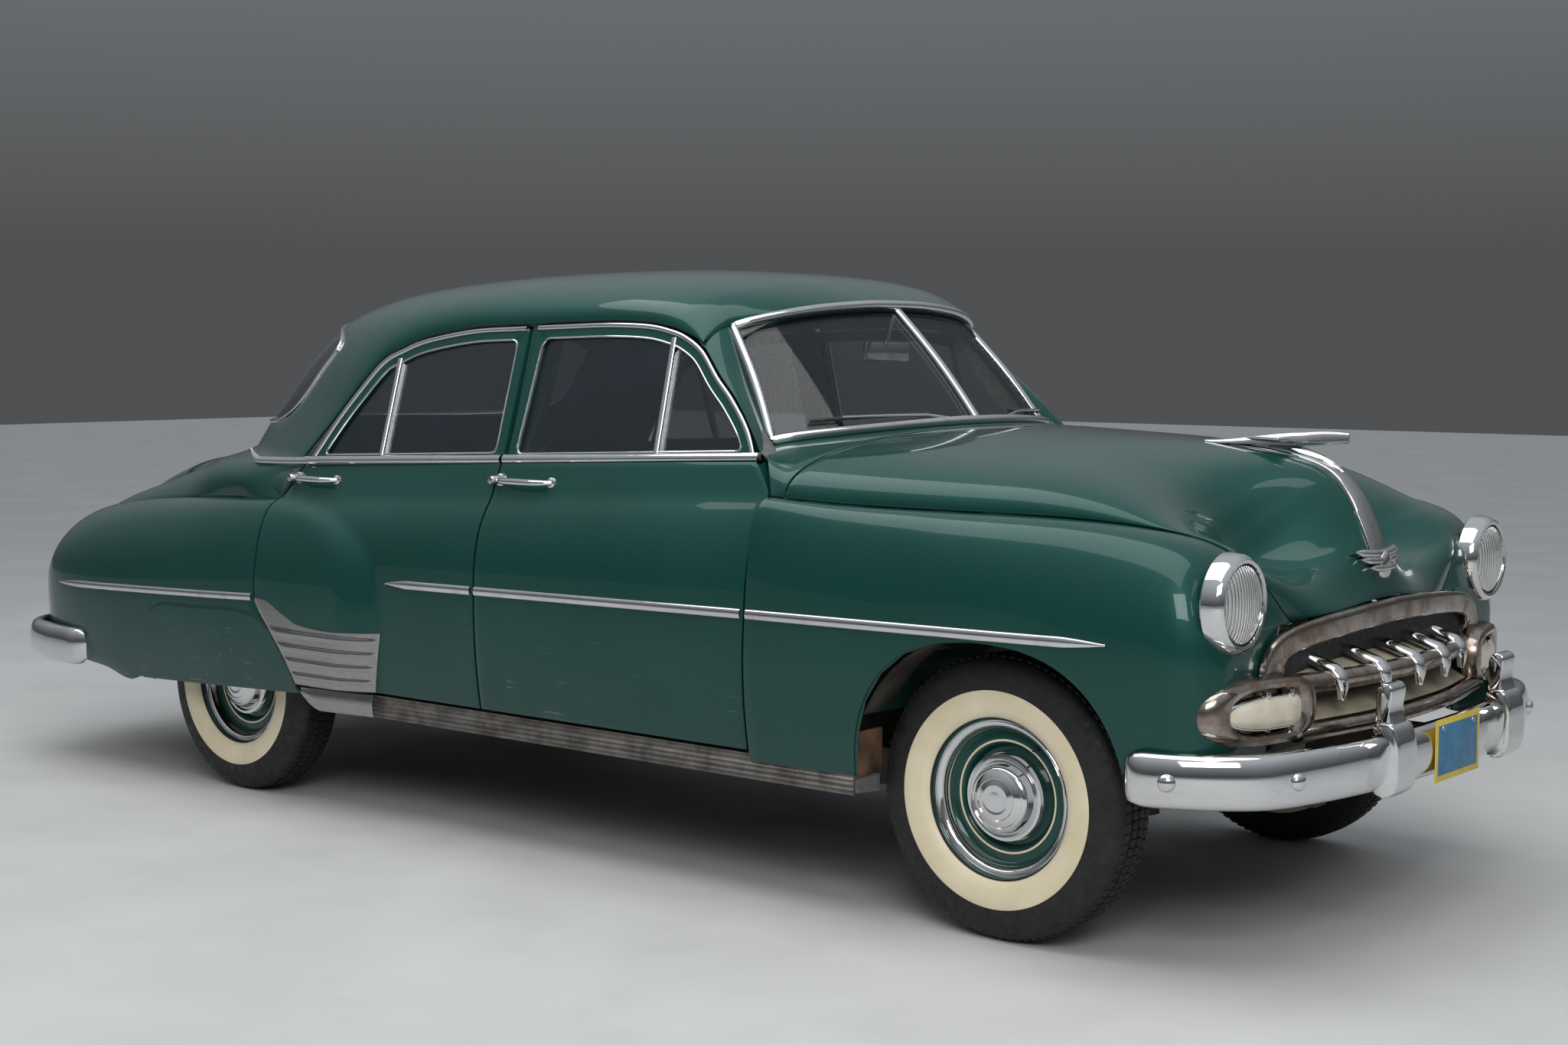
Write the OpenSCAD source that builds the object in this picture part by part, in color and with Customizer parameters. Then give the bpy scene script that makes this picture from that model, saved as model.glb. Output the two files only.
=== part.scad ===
// Four-door sedan of the early 1950s, full size, in millimetres.
// X points forward, Y to the car's left and Z up. The road is Z = 0 and the
// origin lies under the middle of the car's length. Panels are drawn for the
// right side (negative Y) and mirrored; a half width is a distance from Y = 0.

/* [Stance] */
// Front axle ahead of the origin
front_axle_x = 1673; // [1600:1:1750]
// Distance between the axles
wheelbase = 2921; // [2850:1:2990]
// Distance between the middle planes of the front wheels
front_track = 1440; // [1400:1:1470]
// Distance between the middle planes of the rear wheels
rear_track = 1492; // [1440:1:1520]
// Outer radius of a tyre
tyre_r = 351; // [335:1:358]
// Width of a tyre
tyre_w = 170; // [150:1:185]
// Radius of the rim where the tyre sits
rim_r = 195; // [180:1:210]

/* [Body] */
// Half width of the doors at their widest
door_half_w = 900; // [880:1:910]
// Half width of the rear fenders at their widest
rear_half_w = 939; // [925:1:950]
// Height at which the doors are widest
wide_z = 700; // [640:1:740]
// Height at which the rear fenders are widest
rear_wide_z = 600; // [560:1:640]
// Lower edge of the sills
sill_z = 322; // [300:1:335]
// Lower edge of the doors
door_low_z = 398; // [385:1:420]
// Height of the belt line at the origin
belt_z = 1102; // [1090:1:1115]
// Rise of the belt line for each millimetre forward
belt_rise = 0.039; // [0.02:0.001:0.05]
// Place of the line between front and rear doors
door_split_x = -45; // [-80:1:-10]
// Depth of a door, skin to trim
door_t = 76; // [60:1:84]
// Thickness of the sheet-metal panels with their returned edges
panel_t = 14; // [10:1:18]
// Thickness of the roof with its lining
roof_t = 26; // [20:1:32]
// Gap round the doors and lids
gap = 7; // [6:0.5:9]
// Clearance where two fixed pieces meet
seat_c = 0.3; // [0.2:0.05:0.5]
// Lean of the side windows from upright, in degrees
lean = 17.75; // [15:0.25:20]
// Half width of the side windows' plane at the belt
window_half_w = 775; // [765:1:785]
// Thickness of a door's window frame
frame_t = 24; // [18:1:28]
// Thickness of the glass
glass_t = 6; // [4:0.5:8]

/* [Wheel arch] */
// Length of the front arch behind the axle
arch_back = 372; // [365:1:390]
// Length of the front arch ahead of the axle
arch_front = 392; // [380:1:400]
// Height of the front arch above the axle
arch_h = 390; // [385:1:405]

/* [Front end] */
// Headlamp middle ahead of the front axle
lamp_o = 566; // [560:1:575]
// Headlamp middle from the centre line
lamp_y = 708; // [700:1:715]
// Headlamp middle above the road
lamp_z = 861; // [850:1:870]
// Outer radius of the headlamp ring
lamp_r = 117; // [110:1:122]
// Bumper face ahead of the front axle
bumper_o = 815; // [800:1:830]
// Middle height of the front bumper
bumper_z = 470; // [455:1:485]
// Height of a bumper bar
bumper_h = 128; // [110:1:140]
// Bumper guards from the centre line
guard_y = 333; // [310:1:360]

/* [Steering] */
// Kingpins inboard of the wheel's middle plane
kingpin_in = 75; // [65:1:85]
// Radius of the steering wheel's rim
wheel_rim_r = 222; // [205:1:230]
// Steering wheel's place from the centre line
driver_y = 370; // [340:1:390]

/* [Hidden] */
fx = front_axle_x;
rx = fx - wheelbase;
axle_z = tyre_r;
paint = "#0f3b2e";
bright = "#c9ccd0";
dark = "#23262a";

// Front end lines from the front axle forward: [ahead, widest half width, seam half width, seam height]
FRONT = [[-690, 900, 828, 1050], [-471, 899, 800, 1040], [-206, 896, 775, 1037], [84, 890, 745, 1036],
    [238, 882, 720, 1030], [346, 874, 695, 1020], [447, 862, 660, 1002], [507, 850, 625, 975],
    [545, 828, 580, 930], [569, 800, 540, 885], [583, 770, 443, 796]];
// Hood centre line: [middle ahead of axle, middle height, edge ahead of axle, share of inset along X]
HOOD = [[-545, 1219, -633, 0], [-400, 1215, -460, 0], [-240, 1209, -290, 0], [30, 1197, -20, 0.05],
    [280, 1178, 230, 0.15], [430, 1156, 370, 0.3], [530, 1122, 450, 0.55], [585, 1080, 507, 0.75],
    [613, 1010, 545, 0.95], [629, 930, 569, 1], [640, 826, 583, 1]];
// Cowl rear edge from middle to door: [ahead of front axle, half width, height]
COWL = [[-606, 0, 1222], [-612, 120, 1221], [-630, 250, 1217], [-665, 380, 1210], [-715, 500, 1201],
    [-775, 600, 1190], [-826, 662, 1178], [-735, 772, 1139], [-683, 824, 1054]];
// Edge of the roof over the side windows, front to rear: [x, height]
ARCH = [[fx - 772, 1137], [fx - 822, 1221], [fx - 896, 1299], [fx - 967, 1359], [fx - 1041, 1430],
    [fx - 1110, 1468], [fx - 1169, 1486], [fx - 1259, 1501], [fx - 1407, 1506], [fx - 1587, 1502],
    [rx + 1148, 1496], [rx + 956, 1488], [rx + 763, 1460], [rx + 658, 1428], [rx + 577, 1390],
    [rx + 500, 1307], [rx + 425, 1212], [rx + 343, 1085]];
// Roof: [edge x, edge height, middle x, middle height, share of inset along X]
ROOF = [[fx - 1045, 1442, fx - 903, 1562, 0], [fx - 1110, 1471, fx - 985, 1603, 0],
    [fx - 1169, 1489, fx - 1090, 1632, 0], [fx - 1259, 1503, fx - 1233, 1650, 0],
    [fx - 1407, 1508, fx - 1413, 1661, 0], [fx - 1587, 1504, fx - 1613, 1665, 0],
    [rx + 1148, 1498, rx + 1088, 1663, 0], [rx + 956, 1490, rx + 828, 1655, 0],
    [rx + 763, 1462, rx + 488, 1634, 0.1], [rx + 658, 1430, rx + 188, 1598, 0.3],
    [rx + 577, 1392, rx - 82, 1530, 0.5], [rx + 500, 1309, rx - 272, 1424, 0.65],
    [rx + 425, 1214, rx - 442, 1274, 0.75], [rx + 302, 1070, rx - 582, 1092, 0.85]];
// Front edge of the front door, from the front axle: [height, ahead]
DOOR_FRONT = [[300, -715], [560, -716], [840, -706], [1000, -701], [1030, -698], [1052, -688], [1100, -724], [1148, -772]];
// Rear edge of the rear door, from the rear axle: [height, ahead]
DOOR_REAR = [[300, 478], [398, 433], [480, 385], [560, 322], [620, 270], [655, 252], [900, 250], [950, 254],
    [1000, 285], [1066, 323], [1100, 340]];
// Leading edge of the rear fender's swell on the rear door, from the rear axle: [height, ahead]
SWELL = [[300, 740], [400, 761], [600, 798], [714, 784], [824, 734], [908, 595], [945, 440], [957, 300], [965, 200]];
// Rear end from the rear axle: [ahead, fender half width, fender low edge, valley half width, crown height, top half width, top height]
REAR = [[323, 939, 650, 836, 955, 786, 1066], [245, 939, 648, 834, 953, 783, 1063], [0, 939, 622, 806, 946, 762, 1057],
    [-200, 936, 600, 776, 937, 706, 1056], [-400, 932, 336, 748, 923, 590, 1052], [-600, 926, 336, 722, 900, 568, 1018],
    [-800, 906, 336, 692, 865, 556, 958], [-950, 868, 342, 655, 812, 536, 872], [-1050, 815, 372, 618, 735, 512, 772],
    [-1120, 762, 420, 590, 640, 500, 660], [-1165, 712, 470, 575, 560, 490, 575]];
// Deck lid: [middle from rear axle, middle height, edge from rear axle, share of inset along X]
DECK = [[-660, 1078, -600, 0.15], [-790, 1048, -720, 0.15], [-920, 1004, -840, 0.3], [-1030, 942, -940, 0.5],
    [-1112, 850, -1025, 0.75], [-1165, 730, -1082, 0.95], [-1192, 590, -1130, 1]];
// Nose over the grille, seen from above: [half width, ahead of front axle]
NOSE = [[0, 727], [200, 720], [350, 699], [440, 683], [500, 672], [600, 652], [700, 627], [770, 605], [820, 582], [850, 559], [868, 532], [873, 500]];
// Grille frame from the middle out and down: [half width, height, ahead of front axle, half breadth]
GRILLE = [[0, 794, 640, 25], [200, 787, 634, 25], [350, 777, 622, 25], [450, 766, 610, 25], [520, 750, 600, 27], [556, 724, 595, 36], [566, 696, 592, 46], [568, 660, 592, 52]];
// Outer face of the bumpers seen from above: [half width, back from the tip]
BUMPER_FRONT = [[0, 0], [200, 5], [350, 16], [500, 38], [600, 60], [700, 90], [762, 124], [816, 182], [860, 250], [892, 325], [909, 400], [914, 436]];
BUMPER_REAR = [[0, 0], [250, 8], [500, 28], [650, 46], [760, 78], [845, 132], [902, 214], [932, 330], [945, 460], [948, 580]];

// Smooth reading of a column of a table whose first column rises or falls
function span(t, x, i = 0) = i >= len(t) - 2 || (x - t[i + 1][0]) * sign(t[1][0] - t[0][0]) < 0 ? i : span(t, x, i + 1);
function slope(t, c, i) = let (a = max(i - 1, 0), b = min(i + 1, len(t) - 1)) (t[b][c] - t[a][c]) / (t[b][0] - t[a][0]);
function at(t, c, x) = let (i = span(t, x), h = t[i + 1][0] - t[i][0], u = min(max((x - t[i][0]) / h, 0), 1),
    v = u * u, q = v * u) (2 * q - 3 * v + 1) * t[i][c] + (q - 2 * v + u) * h * slope(t, c, i)
    + (3 * v - 2 * q) * t[i + 1][c] + (q - v) * h * slope(t, c, i + 1);
function clip(v) = min(max(v, 0), 1);
function belt(x) = belt_z + belt_rise * x;
function window_low(x) = belt(x) + 28;
// Half width of the leaning window plane at a height
function window_w(z) = window_half_w - tan(lean) * (z - 1105);

// Height and half width of the crease under the belt along the doors
function crease(x) = 1050 + 0.051 * (x - (fx - 689));
function crease_w(x) = 822 + 0.0068 * (fx - 689 - x);
function door_w(x, z) = z < wide_z ? door_half_w - 40 * pow((wide_z - z) / (wide_z - sill_z), 2)
    : z < crease(x) ? door_half_w - (door_half_w - crease_w(x)) * pow((z - wide_z) / (crease(x) - wide_z), 3.2)
    : crease_w(x) + (786 - crease_w(x)) * clip((z - crease(x)) / (belt(x) - crease(x)));
// Height at which a section of the rear fender is widest; it drops towards the tail
function rear_wide(o) = min(rear_wide_z, 0.45 * at(REAR, 2, min(o, -400)) + 0.55 * at(REAR, 4, o));
function fender_w(x, z) = let (o = x - rx, v = at(REAR, 3, o), c = at(REAR, 4, o), m = at(REAR, 1, o) - 939 + rear_half_w, h = rear_wide(o))
    z < h ? m - 25 * pow((h - z) / (rear_wide_z - 320), 2)
    : v + (m - v) * sqrt(1 - pow(clip((z - h) / (c - h)), 2.4));
function rear_door_w(x, z) = let (b = sin(90 * clip((rx + at(SWELL, 1, z) - x) / 170)), d = door_w(x, z))
    z > 964 ? d : d + max(0, fender_w(x, z) - d) * b;

// Moves each point of an open line sideways by d, to the left of its direction
function shift(p, d) = [for (i = [0:len(p) - 1]) let (t = p[min(i + 1, len(p) - 1)] - p[max(i - 1, 0)]) p[i] + [-t[1], t[0]] / norm(t) * d];

// Closed panel between two grids of points with the same rows and columns
module skin(o, n) {
    r = len(o);
    c = len(o[0]);
    k = r * c;
    quads = concat(
        [for (i = [0:r - 2], j = [0:c - 2]) [i * c + j, i * c + j + 1, i * c + c + j + 1, i * c + c + j]],
        [for (i = [0:r - 2], j = [0:c - 2]) [k + i * c + j, k + i * c + c + j, k + i * c + c + j + 1, k + i * c + j + 1]],
        [for (j = [0:c - 2]) [j + 1, j, k + j, k + j + 1]],
        [for (j = [0:c - 2]) let (b = (r - 1) * c + j) [b, b + 1, k + b + 1, k + b]],
        [for (i = [0:r - 2]) [i * c, i * c + c, k + i * c + c, k + i * c]],
        [for (i = [0:r - 2]) let (b = i * c + c - 1) [b + c, b, k + b, k + b + c]]);
    polyhedron([for (w = [o, n], row = w) each row], [for (q = quads) each [[q[0], q[1], q[2]], [q[0], q[2], q[3]]]]);
}
// Closed bar through rings of points, each ring a closed loop
module tube(rings) {
    c = len(rings[0]);
    n = len(rings);
    polyhedron([for (r = rings) each r], concat([for (i = [0:n - 2], j = [0:c - 1]) each let (a = i * c + j, b = i * c + (j + 1) % c) [[a, b, b + c], [a, b + c, a + c]]],
        [for (j = [1:c - 2]) [0, j + 1, j]], [for (j = [1:c - 2]) let (b = (n - 1) * c) [b, b + j, b + j + 1]]));
}
// Both halves of a line given by half widths, as points [x, y]; f makes x of a row
function mirrored(t, f) = concat([for (i = [len(t) - 1:-1:1]) [f(t[i]), -t[i][0]]], [for (r = t) [f(r), r[0]]]);
// Bar along a line seen from above; section points are [out from the line, height]
module plan_bar(line, z, section) {
    out = function (i) let (t = line[min(i + 1, len(line) - 1)] - line[max(i - 1, 0)]) [t[1], -t[0]] / norm(t);
    tube([for (i = [0:len(line) - 1]) [for (q = section) let (p = line[i] + out(i) * q[0]) [p[0], p[1], z + q[1]]]]);
}
// The same panel on the other side of the car
module other_side() { mirror([0, 1, 0]) children(); }
// Both sides of the car
module both() { children(); other_side() children(); }
// Profile in the X-Z plane given as half widths y0 to y1 on the right side
module side_cut(y0, y1) { translate([0, -y0, 0]) rotate([90, 0, 0]) linear_extrude(y1 - y0) children(); }
// Slab in the leaning plane of the side windows, from depth d0 to d1 under its outer face
module window_slab(p, d0, d1) {
    translate([0, -window_half_w, 1105]) rotate([90 - lean, 0, 0]) translate([0, 0, -d1]) linear_extrude(d1 - d0)
        polygon([for (q = p) [q[0], (q[1] - 1105) / cos(lean)]]);
}
module box(x, y, z) { translate([x[0], y[0], z[0]]) cube([x[1] - x[0], y[1] - y[0], z[1] - z[0]]); }
// One closed mesh of the pieces of a welded panel
module welded() { resize([0, 0, 0]) union() children(); }

// Chassis
rail_y = 430;
rail_w = 62;
rail_top = 355;
module frame() color(dark) {
    // Rail seen from the side: [x, lower edge, upper edge]
    rail = [[fx + 650, 360, 440], [fx + 330, 360, 440], [fx + 120, 330, 430], [fx - 120, 320, 420], [fx - 380, 255, rail_top],
        [rx + 420, 255, rail_top], [rx + 200, 430, 515], [rx - 220, 430, 515], [rx - 460, 370, 455], [rx - 1110, 370, 455]];
    both() side_cut(rail_y - rail_w, rail_y) polygon(concat([for (p = rail) [p[0], p[1]]], [for (i = [len(rail) - 1:-1:0]) [rail[i][0], rail[i][2]]]));
    // Cross members: [x, lower edge, upper edge, length]
    for (m = [[fx + 560, 365, 435, 60], [fx - 420, 260, 330, 80], [-300, 260, 330, 80], [rx + 150, 440, 505, 70], [rx - 1075, 380, 440, 60]])
        box([m[0] - m[3] / 2, m[0] + m[3] / 2], [-rail_y + 1, rail_y - 1], [m[1], m[2]]);
    // Arms that carry the sills
    both() for (x = [fx - 760, -250, rx + 720]) box([x - 30, x + 30], [-floor_half_w, -rail_y + 5], [300, rail_top]);
}

// Floor, firewall, rear seat step, trunk floor and inner wheel walls
floor_half_w = 770;
floor_t = 10;
tunnel_z = 440;
firewall_x = fx - 655;
seat_step_x = rx + 489;
module floor() color("#3a3d40") difference() {
    union() {
        box([seat_step_x - floor_t, firewall_x], [-floor_half_w, floor_half_w], [rail_top, rail_top + floor_t]);
        box([firewall_x - floor_t, firewall_x], [-floor_half_w, floor_half_w], [rail_top, 935]);
        box([firewall_x - floor_t, firewall_x], [-728, 728], [930, 1080]);
        box([seat_step_x - floor_t, seat_step_x], [-floor_half_w, floor_half_w], [rail_top, 540]);
        box([rx - 470, seat_step_x], [-600, 600], [530, 540]);
        box([rx - 480, rx - 470], [-600, 600], [455, 540]);
        box([rx - 1100, rx - 470], [-600, 600], [455, 465]);
        // Tunnel over the drive line
        box([seat_step_x - 5, firewall_x - 5], [-120, 120], [rail_top, tunnel_z]);
        both() box([rx - 470, seat_step_x - 5], [-600, -590], [535, 790]);
    }
    box([seat_step_x - 20, firewall_x - floor_t - 1], [-108, 108], [rail_top - 1, tunnel_z - 12]);
    on_column() cylinder(r = column_r + seat_c, h = 700, $fn = 40);
}

// Welded body: cowl, hinge pillars, sills, centre pillars, roof, quarters and rear panel
roof_n = 8;
// Point of the roof's section s at k of roof_n steps from the middle, d under the outer face
function roof_at(s, k, d) = let (a = 90 * k / roof_n, u = sign(k) * pow(abs(sin(a)), 0.85), ws = window_w(s[1]) + 8 - d * 0.9,
    xc = s[2] + d * s[4], zc = s[3] - d * (1 - 0.5 * s[4]), zs = s[1] - d * 0.35)
    [xc + (s[0] - xc) * pow(abs(u), 2.4), -u * ws, zs + (zc - zs) * pow(1 - pow(abs(u), 2.5), 0.45)];
function roof_ring(s, d) = [for (k = [-roof_n:roof_n]) roof_at(s, k, d)];
// Section between two rows of the table
function roof_row(f) = let (i = floor(f), v = f - i) v == 0 ? ROOF[i] : ROOF[i] * (1 - v) + ROOF[i + 1] * v;
// Rear window in rows and steps of the roof: first row, last row, half width in steps
back_light = [10.25, 12.55, 4.6];
// Patch of the roof's surface inside the rear window, drawn in by c, between depths d0 and d1
module back_patch(c, d0, d1) {
    f = [for (i = [0:6]) back_light[0] + c / 150 + (back_light[1] - back_light[0] - c / 75) * i / 6];
    h = function (i) (back_light[2] - c / 110) * (i == 0 ? 0.86 : i == 6 ? 0.9 : 1);
    row = function (i, d) [for (j = [-6:6]) roof_at(roof_row(f[i]), h(i) * j / 6, d)];
    skin([for (i = [0:6]) row(i, d0)], [for (i = [0:6]) row(i, d1)]);
}
// Roof that runs on over a shelf, from the foot of the rear window back to the deck lid
module roof_panel() {
    foot = roof_ring(ROOF[len(ROOF) - 1], 0);
    lid = [for (k = [-deck_n:deck_n]) deck_at(DECK[0], k, 0) + [gap + 2, 0, 0]];
    mid = [for (k = [0:2 * roof_n]) let (u = abs(k / roof_n - 1), c = (foot[k] + lid[k]) / 2) c + [6 * u, sign(c[1]) * 34 * pow(u, 3), 2]];
    low = function (r) [for (p = r) p - [0, 0, shelf_t]];
    difference() {
        skin(concat([for (s = ROOF) roof_ring(s, 0)], [mid, lid]), concat([for (s = ROOF) roof_ring(s, roof_t)], [low(mid), low(lid)]));
        back_patch(0, -30, roof_t + 40);
    }
}
shelf_t = 20;
hood_n = 8;
// Point of the hood's section: k from 0 at the middle to hood_n at the seam; s is a row of HOOD
function hood_at(s, k, d) = let (a = 90 * k / hood_n, zs = at(FRONT, 3, s[2]) + gap, ws = at(FRONT, 2, s[2]) - 2 - 0.75 * d * (1 - s[3]),
    xc = s[0] - d * s[3], xs = s[2] - d * s[3], zc = s[1] - d * (1 - s[3]), w = ws * pow(abs(sin(a)), 0.87))
    [fx + xc + (xs - xc) * pow(w / ws, 2), -sign(k) * w, zs + (max(zc, zs + 2) - zs) * pow(cos(a), 0.87)];
module cowl_panel() {
    s = HOOD[0];
    front = [for (k = [-hood_n:hood_n]) hood_at(s, k, 0) - [gap + 2, 0, 0]];
    back = [for (k = [-hood_n:hood_n]) let (c = COWL[abs(k)]) [fx + c[0], -sign(k) * c[1], c[2]]];
    low = function (p) [p[0], p[1] * (1 - panel_t / 1500), p[2] - panel_t * 0.6];
    skin([front, back], [[for (p = front) low(p)], [for (p = back) low(p)]]);
}
module quarter_panel() {
    // Section from the fender's valley up to the belt or the deck lid
    function row(r, d) = [for (j = [0:4]) let (u = j / 4, b = 18 * sin(180 * u))
        let (z = r[4] + (r[6] - r[4]) * u + b * 0.6) [rx + (r[0] > 300 ? at(DOOR_REAR, 1, z) - gap * 1.3 : r[0]), -(r[3] + (r[5] - r[3]) * u + b - d), z - d * 0.25 * u]];
    skin([for (i = [len(REAR) - 1:-1:0]) row(REAR[i], 0)], [for (i = [len(REAR) - 1:-1:0]) row(REAR[i], panel_t + 10)]);
}
// Rear face of the hinge pillars
hinge_x = fx - 680 + gap;
module body_shell() color(paint) welded() difference() {
    union() {
        roof_panel();
        cowl_panel();
        // Rear panel under the deck lid
        box([rx - 1150, rx - 1130], [-560, 560], [470, 630]);
        // Package tray behind the rear seat
        box([rx - 590, rx - 66], [-440, 440], [1062, 1076]);
        both() body_side();
        // Ears that carry the hood's hinge pins
        for (y = [-hood_arm_y, hood_arm_y], e = [-9.5, 3.5]) box([hood_hinge_x - 10, hood_hinge_x + 14], [y + e, y + e + 6], [hood_hinge_z - 16, hood_hinge_z + 27]);
        // Ears that carry the deck lid's hinge pins
        for (y = [-deck_arm_y, deck_arm_y], e = [-9.5, 3.5]) box([deck_hinge_x - 14, deck_hinge_x + 14], [y + e, y + e + 6], [deck_hinge_z - 14, 1070]);
    }
    hinge_pins(hood_hinge_x, hood_hinge_z, hood_arm_y, pin_r + seat_c);
    hinge_pins(deck_hinge_x, deck_hinge_z, deck_arm_y, pin_r + seat_c);
    // Groove for the windscreen
    windscreen_glass(seat_c);
}
pin_r = 5;
// Hinge lines of hood and deck lid, and where their arms stand from the centre line
hood_hinge_x = fx - 638;
hood_hinge_z = 1183;
hood_arm_y = 300;
deck_hinge_x = rx - 560;
deck_hinge_z = 1030;
deck_arm_y = 350;
module hinge_pins(x, z, y, r) { for (s = [-1, 1]) translate([x, s * y, z]) rotate([90, 0, 0]) cylinder(r = r, h = 19, center = true, $fn = 24); }
module body_side() {
    quarter_panel();
    pillar();
    // Hinge pillar and its foot on the sill
    box([hinge_x, firewall_x + 40], [-840, -floor_half_w - seat_c], [sill_z + 10, 950]);
    box([hinge_x, firewall_x + 40], [-812, -735], [940, 1048]);
    box([fx - 683, firewall_x + 15], [-800, -740], [1040, 1092]);
    box([fx - 700, firewall_x + 40], [-840, -floor_half_w - seat_c], [sill_z + 5, 366]);
    // Sill
    side_cut(floor_half_w + seat_c, 862) polygon([[rx + 440, sill_z], [rx + 404, door_low_z - gap], [fx - 724, door_low_z - gap],
        [fx - 724, fender_low_z - gap], [fx - arch_back + 4, fender_low_z - gap], [fx - arch_back + 4, sill_z]]);
    // Centre pillar behind the doors, and the strip between the window frames
    box([door_split_x - 45, door_split_x + 45], [-712, -652], [rail_top + floor_t + seat_c, 1150]);
    box([door_split_x - 45, door_split_x + 45], [-778, -690], [rail_top + floor_t + seat_c, 470]);
    window_slab([[door_split_x - 45, 1135], [door_split_x + 45, 1135], [door_split_x + 40, 1500], [door_split_x - 40, 1500]], frame_t + 6, frame_t + 66);
    window_slab([[door_split_x - 3, 1112], [door_split_x + 3, 1112], [door_split_x + 8, 1497], [door_split_x - 8, 1497]], 6, frame_t + 12);
    // Wall between rear door and wheel
    side_cut(745, 792) polygon([[rx + 478, sill_z + 10], [rx + 478, 392], [rx + 398, 520], [rx + 270, 720], [rx + 243, 780], [rx + 243, 1040],
        [rx + 178, 1040], [rx + 178, 760], [rx + 238, 745], [rx + 343, 540], [rx + 388, 400], [rx + 398, sill_z + 10]]);
}
module pillar() {
    g0 = COWL[6];
    g1 = WINDSCREEN_TOP[6];
    ring = function (i) let (g = (g0 + (g1 - g0) * i / 4) + [fx, 0, 0], a = ARCH[i] + [0, i == 0 ? 21 : 0])
        [[g[0] + 8, -g[1] - 4, g[2] + 4], [a[0] + 3, -window_w(a[1]), a[1]], [a[0] + 3, -window_w(a[1]) + 58, a[1] - (i == 0 ? 3 : 16)], [g[0] - 52, -g[1] + 12, g[2] - 30]];
    // The foot runs forward under the cowl, ahead of the door; the head runs into the roof
    foot = [[fx - 800, -676, 1144], [fx - 680, -742, 1108], [fx - 680, -712, 1094], [fx - 788, -652, 1120]];
    tube(concat([foot], [for (i = [0:4]) ring(i)], [[for (q = ring(4)) q + [-44, 14, 18]]]));
}

// Front fender: lower edge follows the wheel arch, upper edge the hood seam
fender_low_z = 372;
// Sections of the fender's front corner, ahead of the front axle
FENDER_TIP = [440, 480, 515, 545, 569, 583];
function arch_low(o, low) = let (a = o < 0 ? arch_back : arch_front) abs(o) >= a ? low : max(low, axle_z + arch_h * pow(1 - pow(abs(o) / a, 2.4), 1 / 2.4));
module fender_front() {
    back = [-690, -590, -490, -400, -arch_back];
    // The rearmost row follows the front edge of the door
    function edge(r) = [for (p = r) [fx + at(DOOR_FRONT, 1, p[2]) + gap / 2, p[1], p[2]]];
    back_arch = [for (k = [1:5]) -arch_back * pow(cos(15 * k), 0.8)];
    front_arch = [for (k = [0:5]) arch_front * pow(sin(15 * k), 0.8)];
    o_all = concat(back, back_arch, front_arch, [arch_front], FENDER_TIP);
    function row(o, d) = let (m = at(FRONT, 1, o) - d, s = at(FRONT, 2, o), zs = at(FRONT, 3, o) - d, low = arch_low(o, o < 0 ? fender_low_z : 470),
        mid = max(wide_z, low + 6)) concat(
        [for (j = [0:2]) let (z = low + (mid - low) * j / 3) [fx + o, -(m - 40 * pow((mid - z) / (wide_z - sill_z), 2)), z]],
        [for (j = [0:7]) let (a = 90 * j / 7) [fx + o, -(s + (m - s) * pow(cos(a), 0.75)), mid + (zs - mid) * pow(sin(a), 0.75)]]);
    // Face under and beside the headlamp: the last row drawn in towards the grille by a share f
    FACE = [[0.92, 5], [0.5, 6], [0.04, 6]];
    function face(d, f) = [for (q = row(583, d)) let (w = -q[1], s = min(w, 500)) [q[0] + f[1] - 0.9 * d, -(s + (w - s) * f[0]), q[2]]];
    color(paint) welded() difference() {
        union() {
            skin(concat([for (o = o_all) o == back[0] ? edge(row(o, 0)) : row(o, 0)], [for (f = FACE) face(0, f)]),
                concat([for (o = o_all) o == back[0] ? edge(row(o, panel_t)) : row(o, panel_t)], [for (f = FACE) face(panel_t, f)]));
            // Flange on the hinge pillar
            box([firewall_x + 40 + seat_c, firewall_x + 54], [-880, -745], [420, 1000]);
            // Splash shield over the wheel
            difference() {
                translate([fx, -850, axle_z]) rotate([-90, 0, 0]) cylinder(r = 410, h = 395, $fn = 40);
                translate([fx, -851, axle_z]) rotate([-90, 0, 0]) cylinder(r = 400, h = 397, $fn = 40);
                box([fx - 420, fx + 420], [-860, -440], [-100, 520]);
            }
        }
        translate([fx + lamp_o - 90, -lamp_y, lamp_z]) rotate([0, 90, 0]) cylinder(r = lamp_r - 14, h = 200, $fn = 64);
        translate([fx + lamp_o - seat_c, -lamp_y, lamp_z]) rotate([0, 90, 0]) cylinder(r = lamp_r + 1, h = 200, $fn = 64);
    }
}
module fender_front_right() { fender_front(); }
module fender_front_left() { other_side() fender_front(); }

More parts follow.
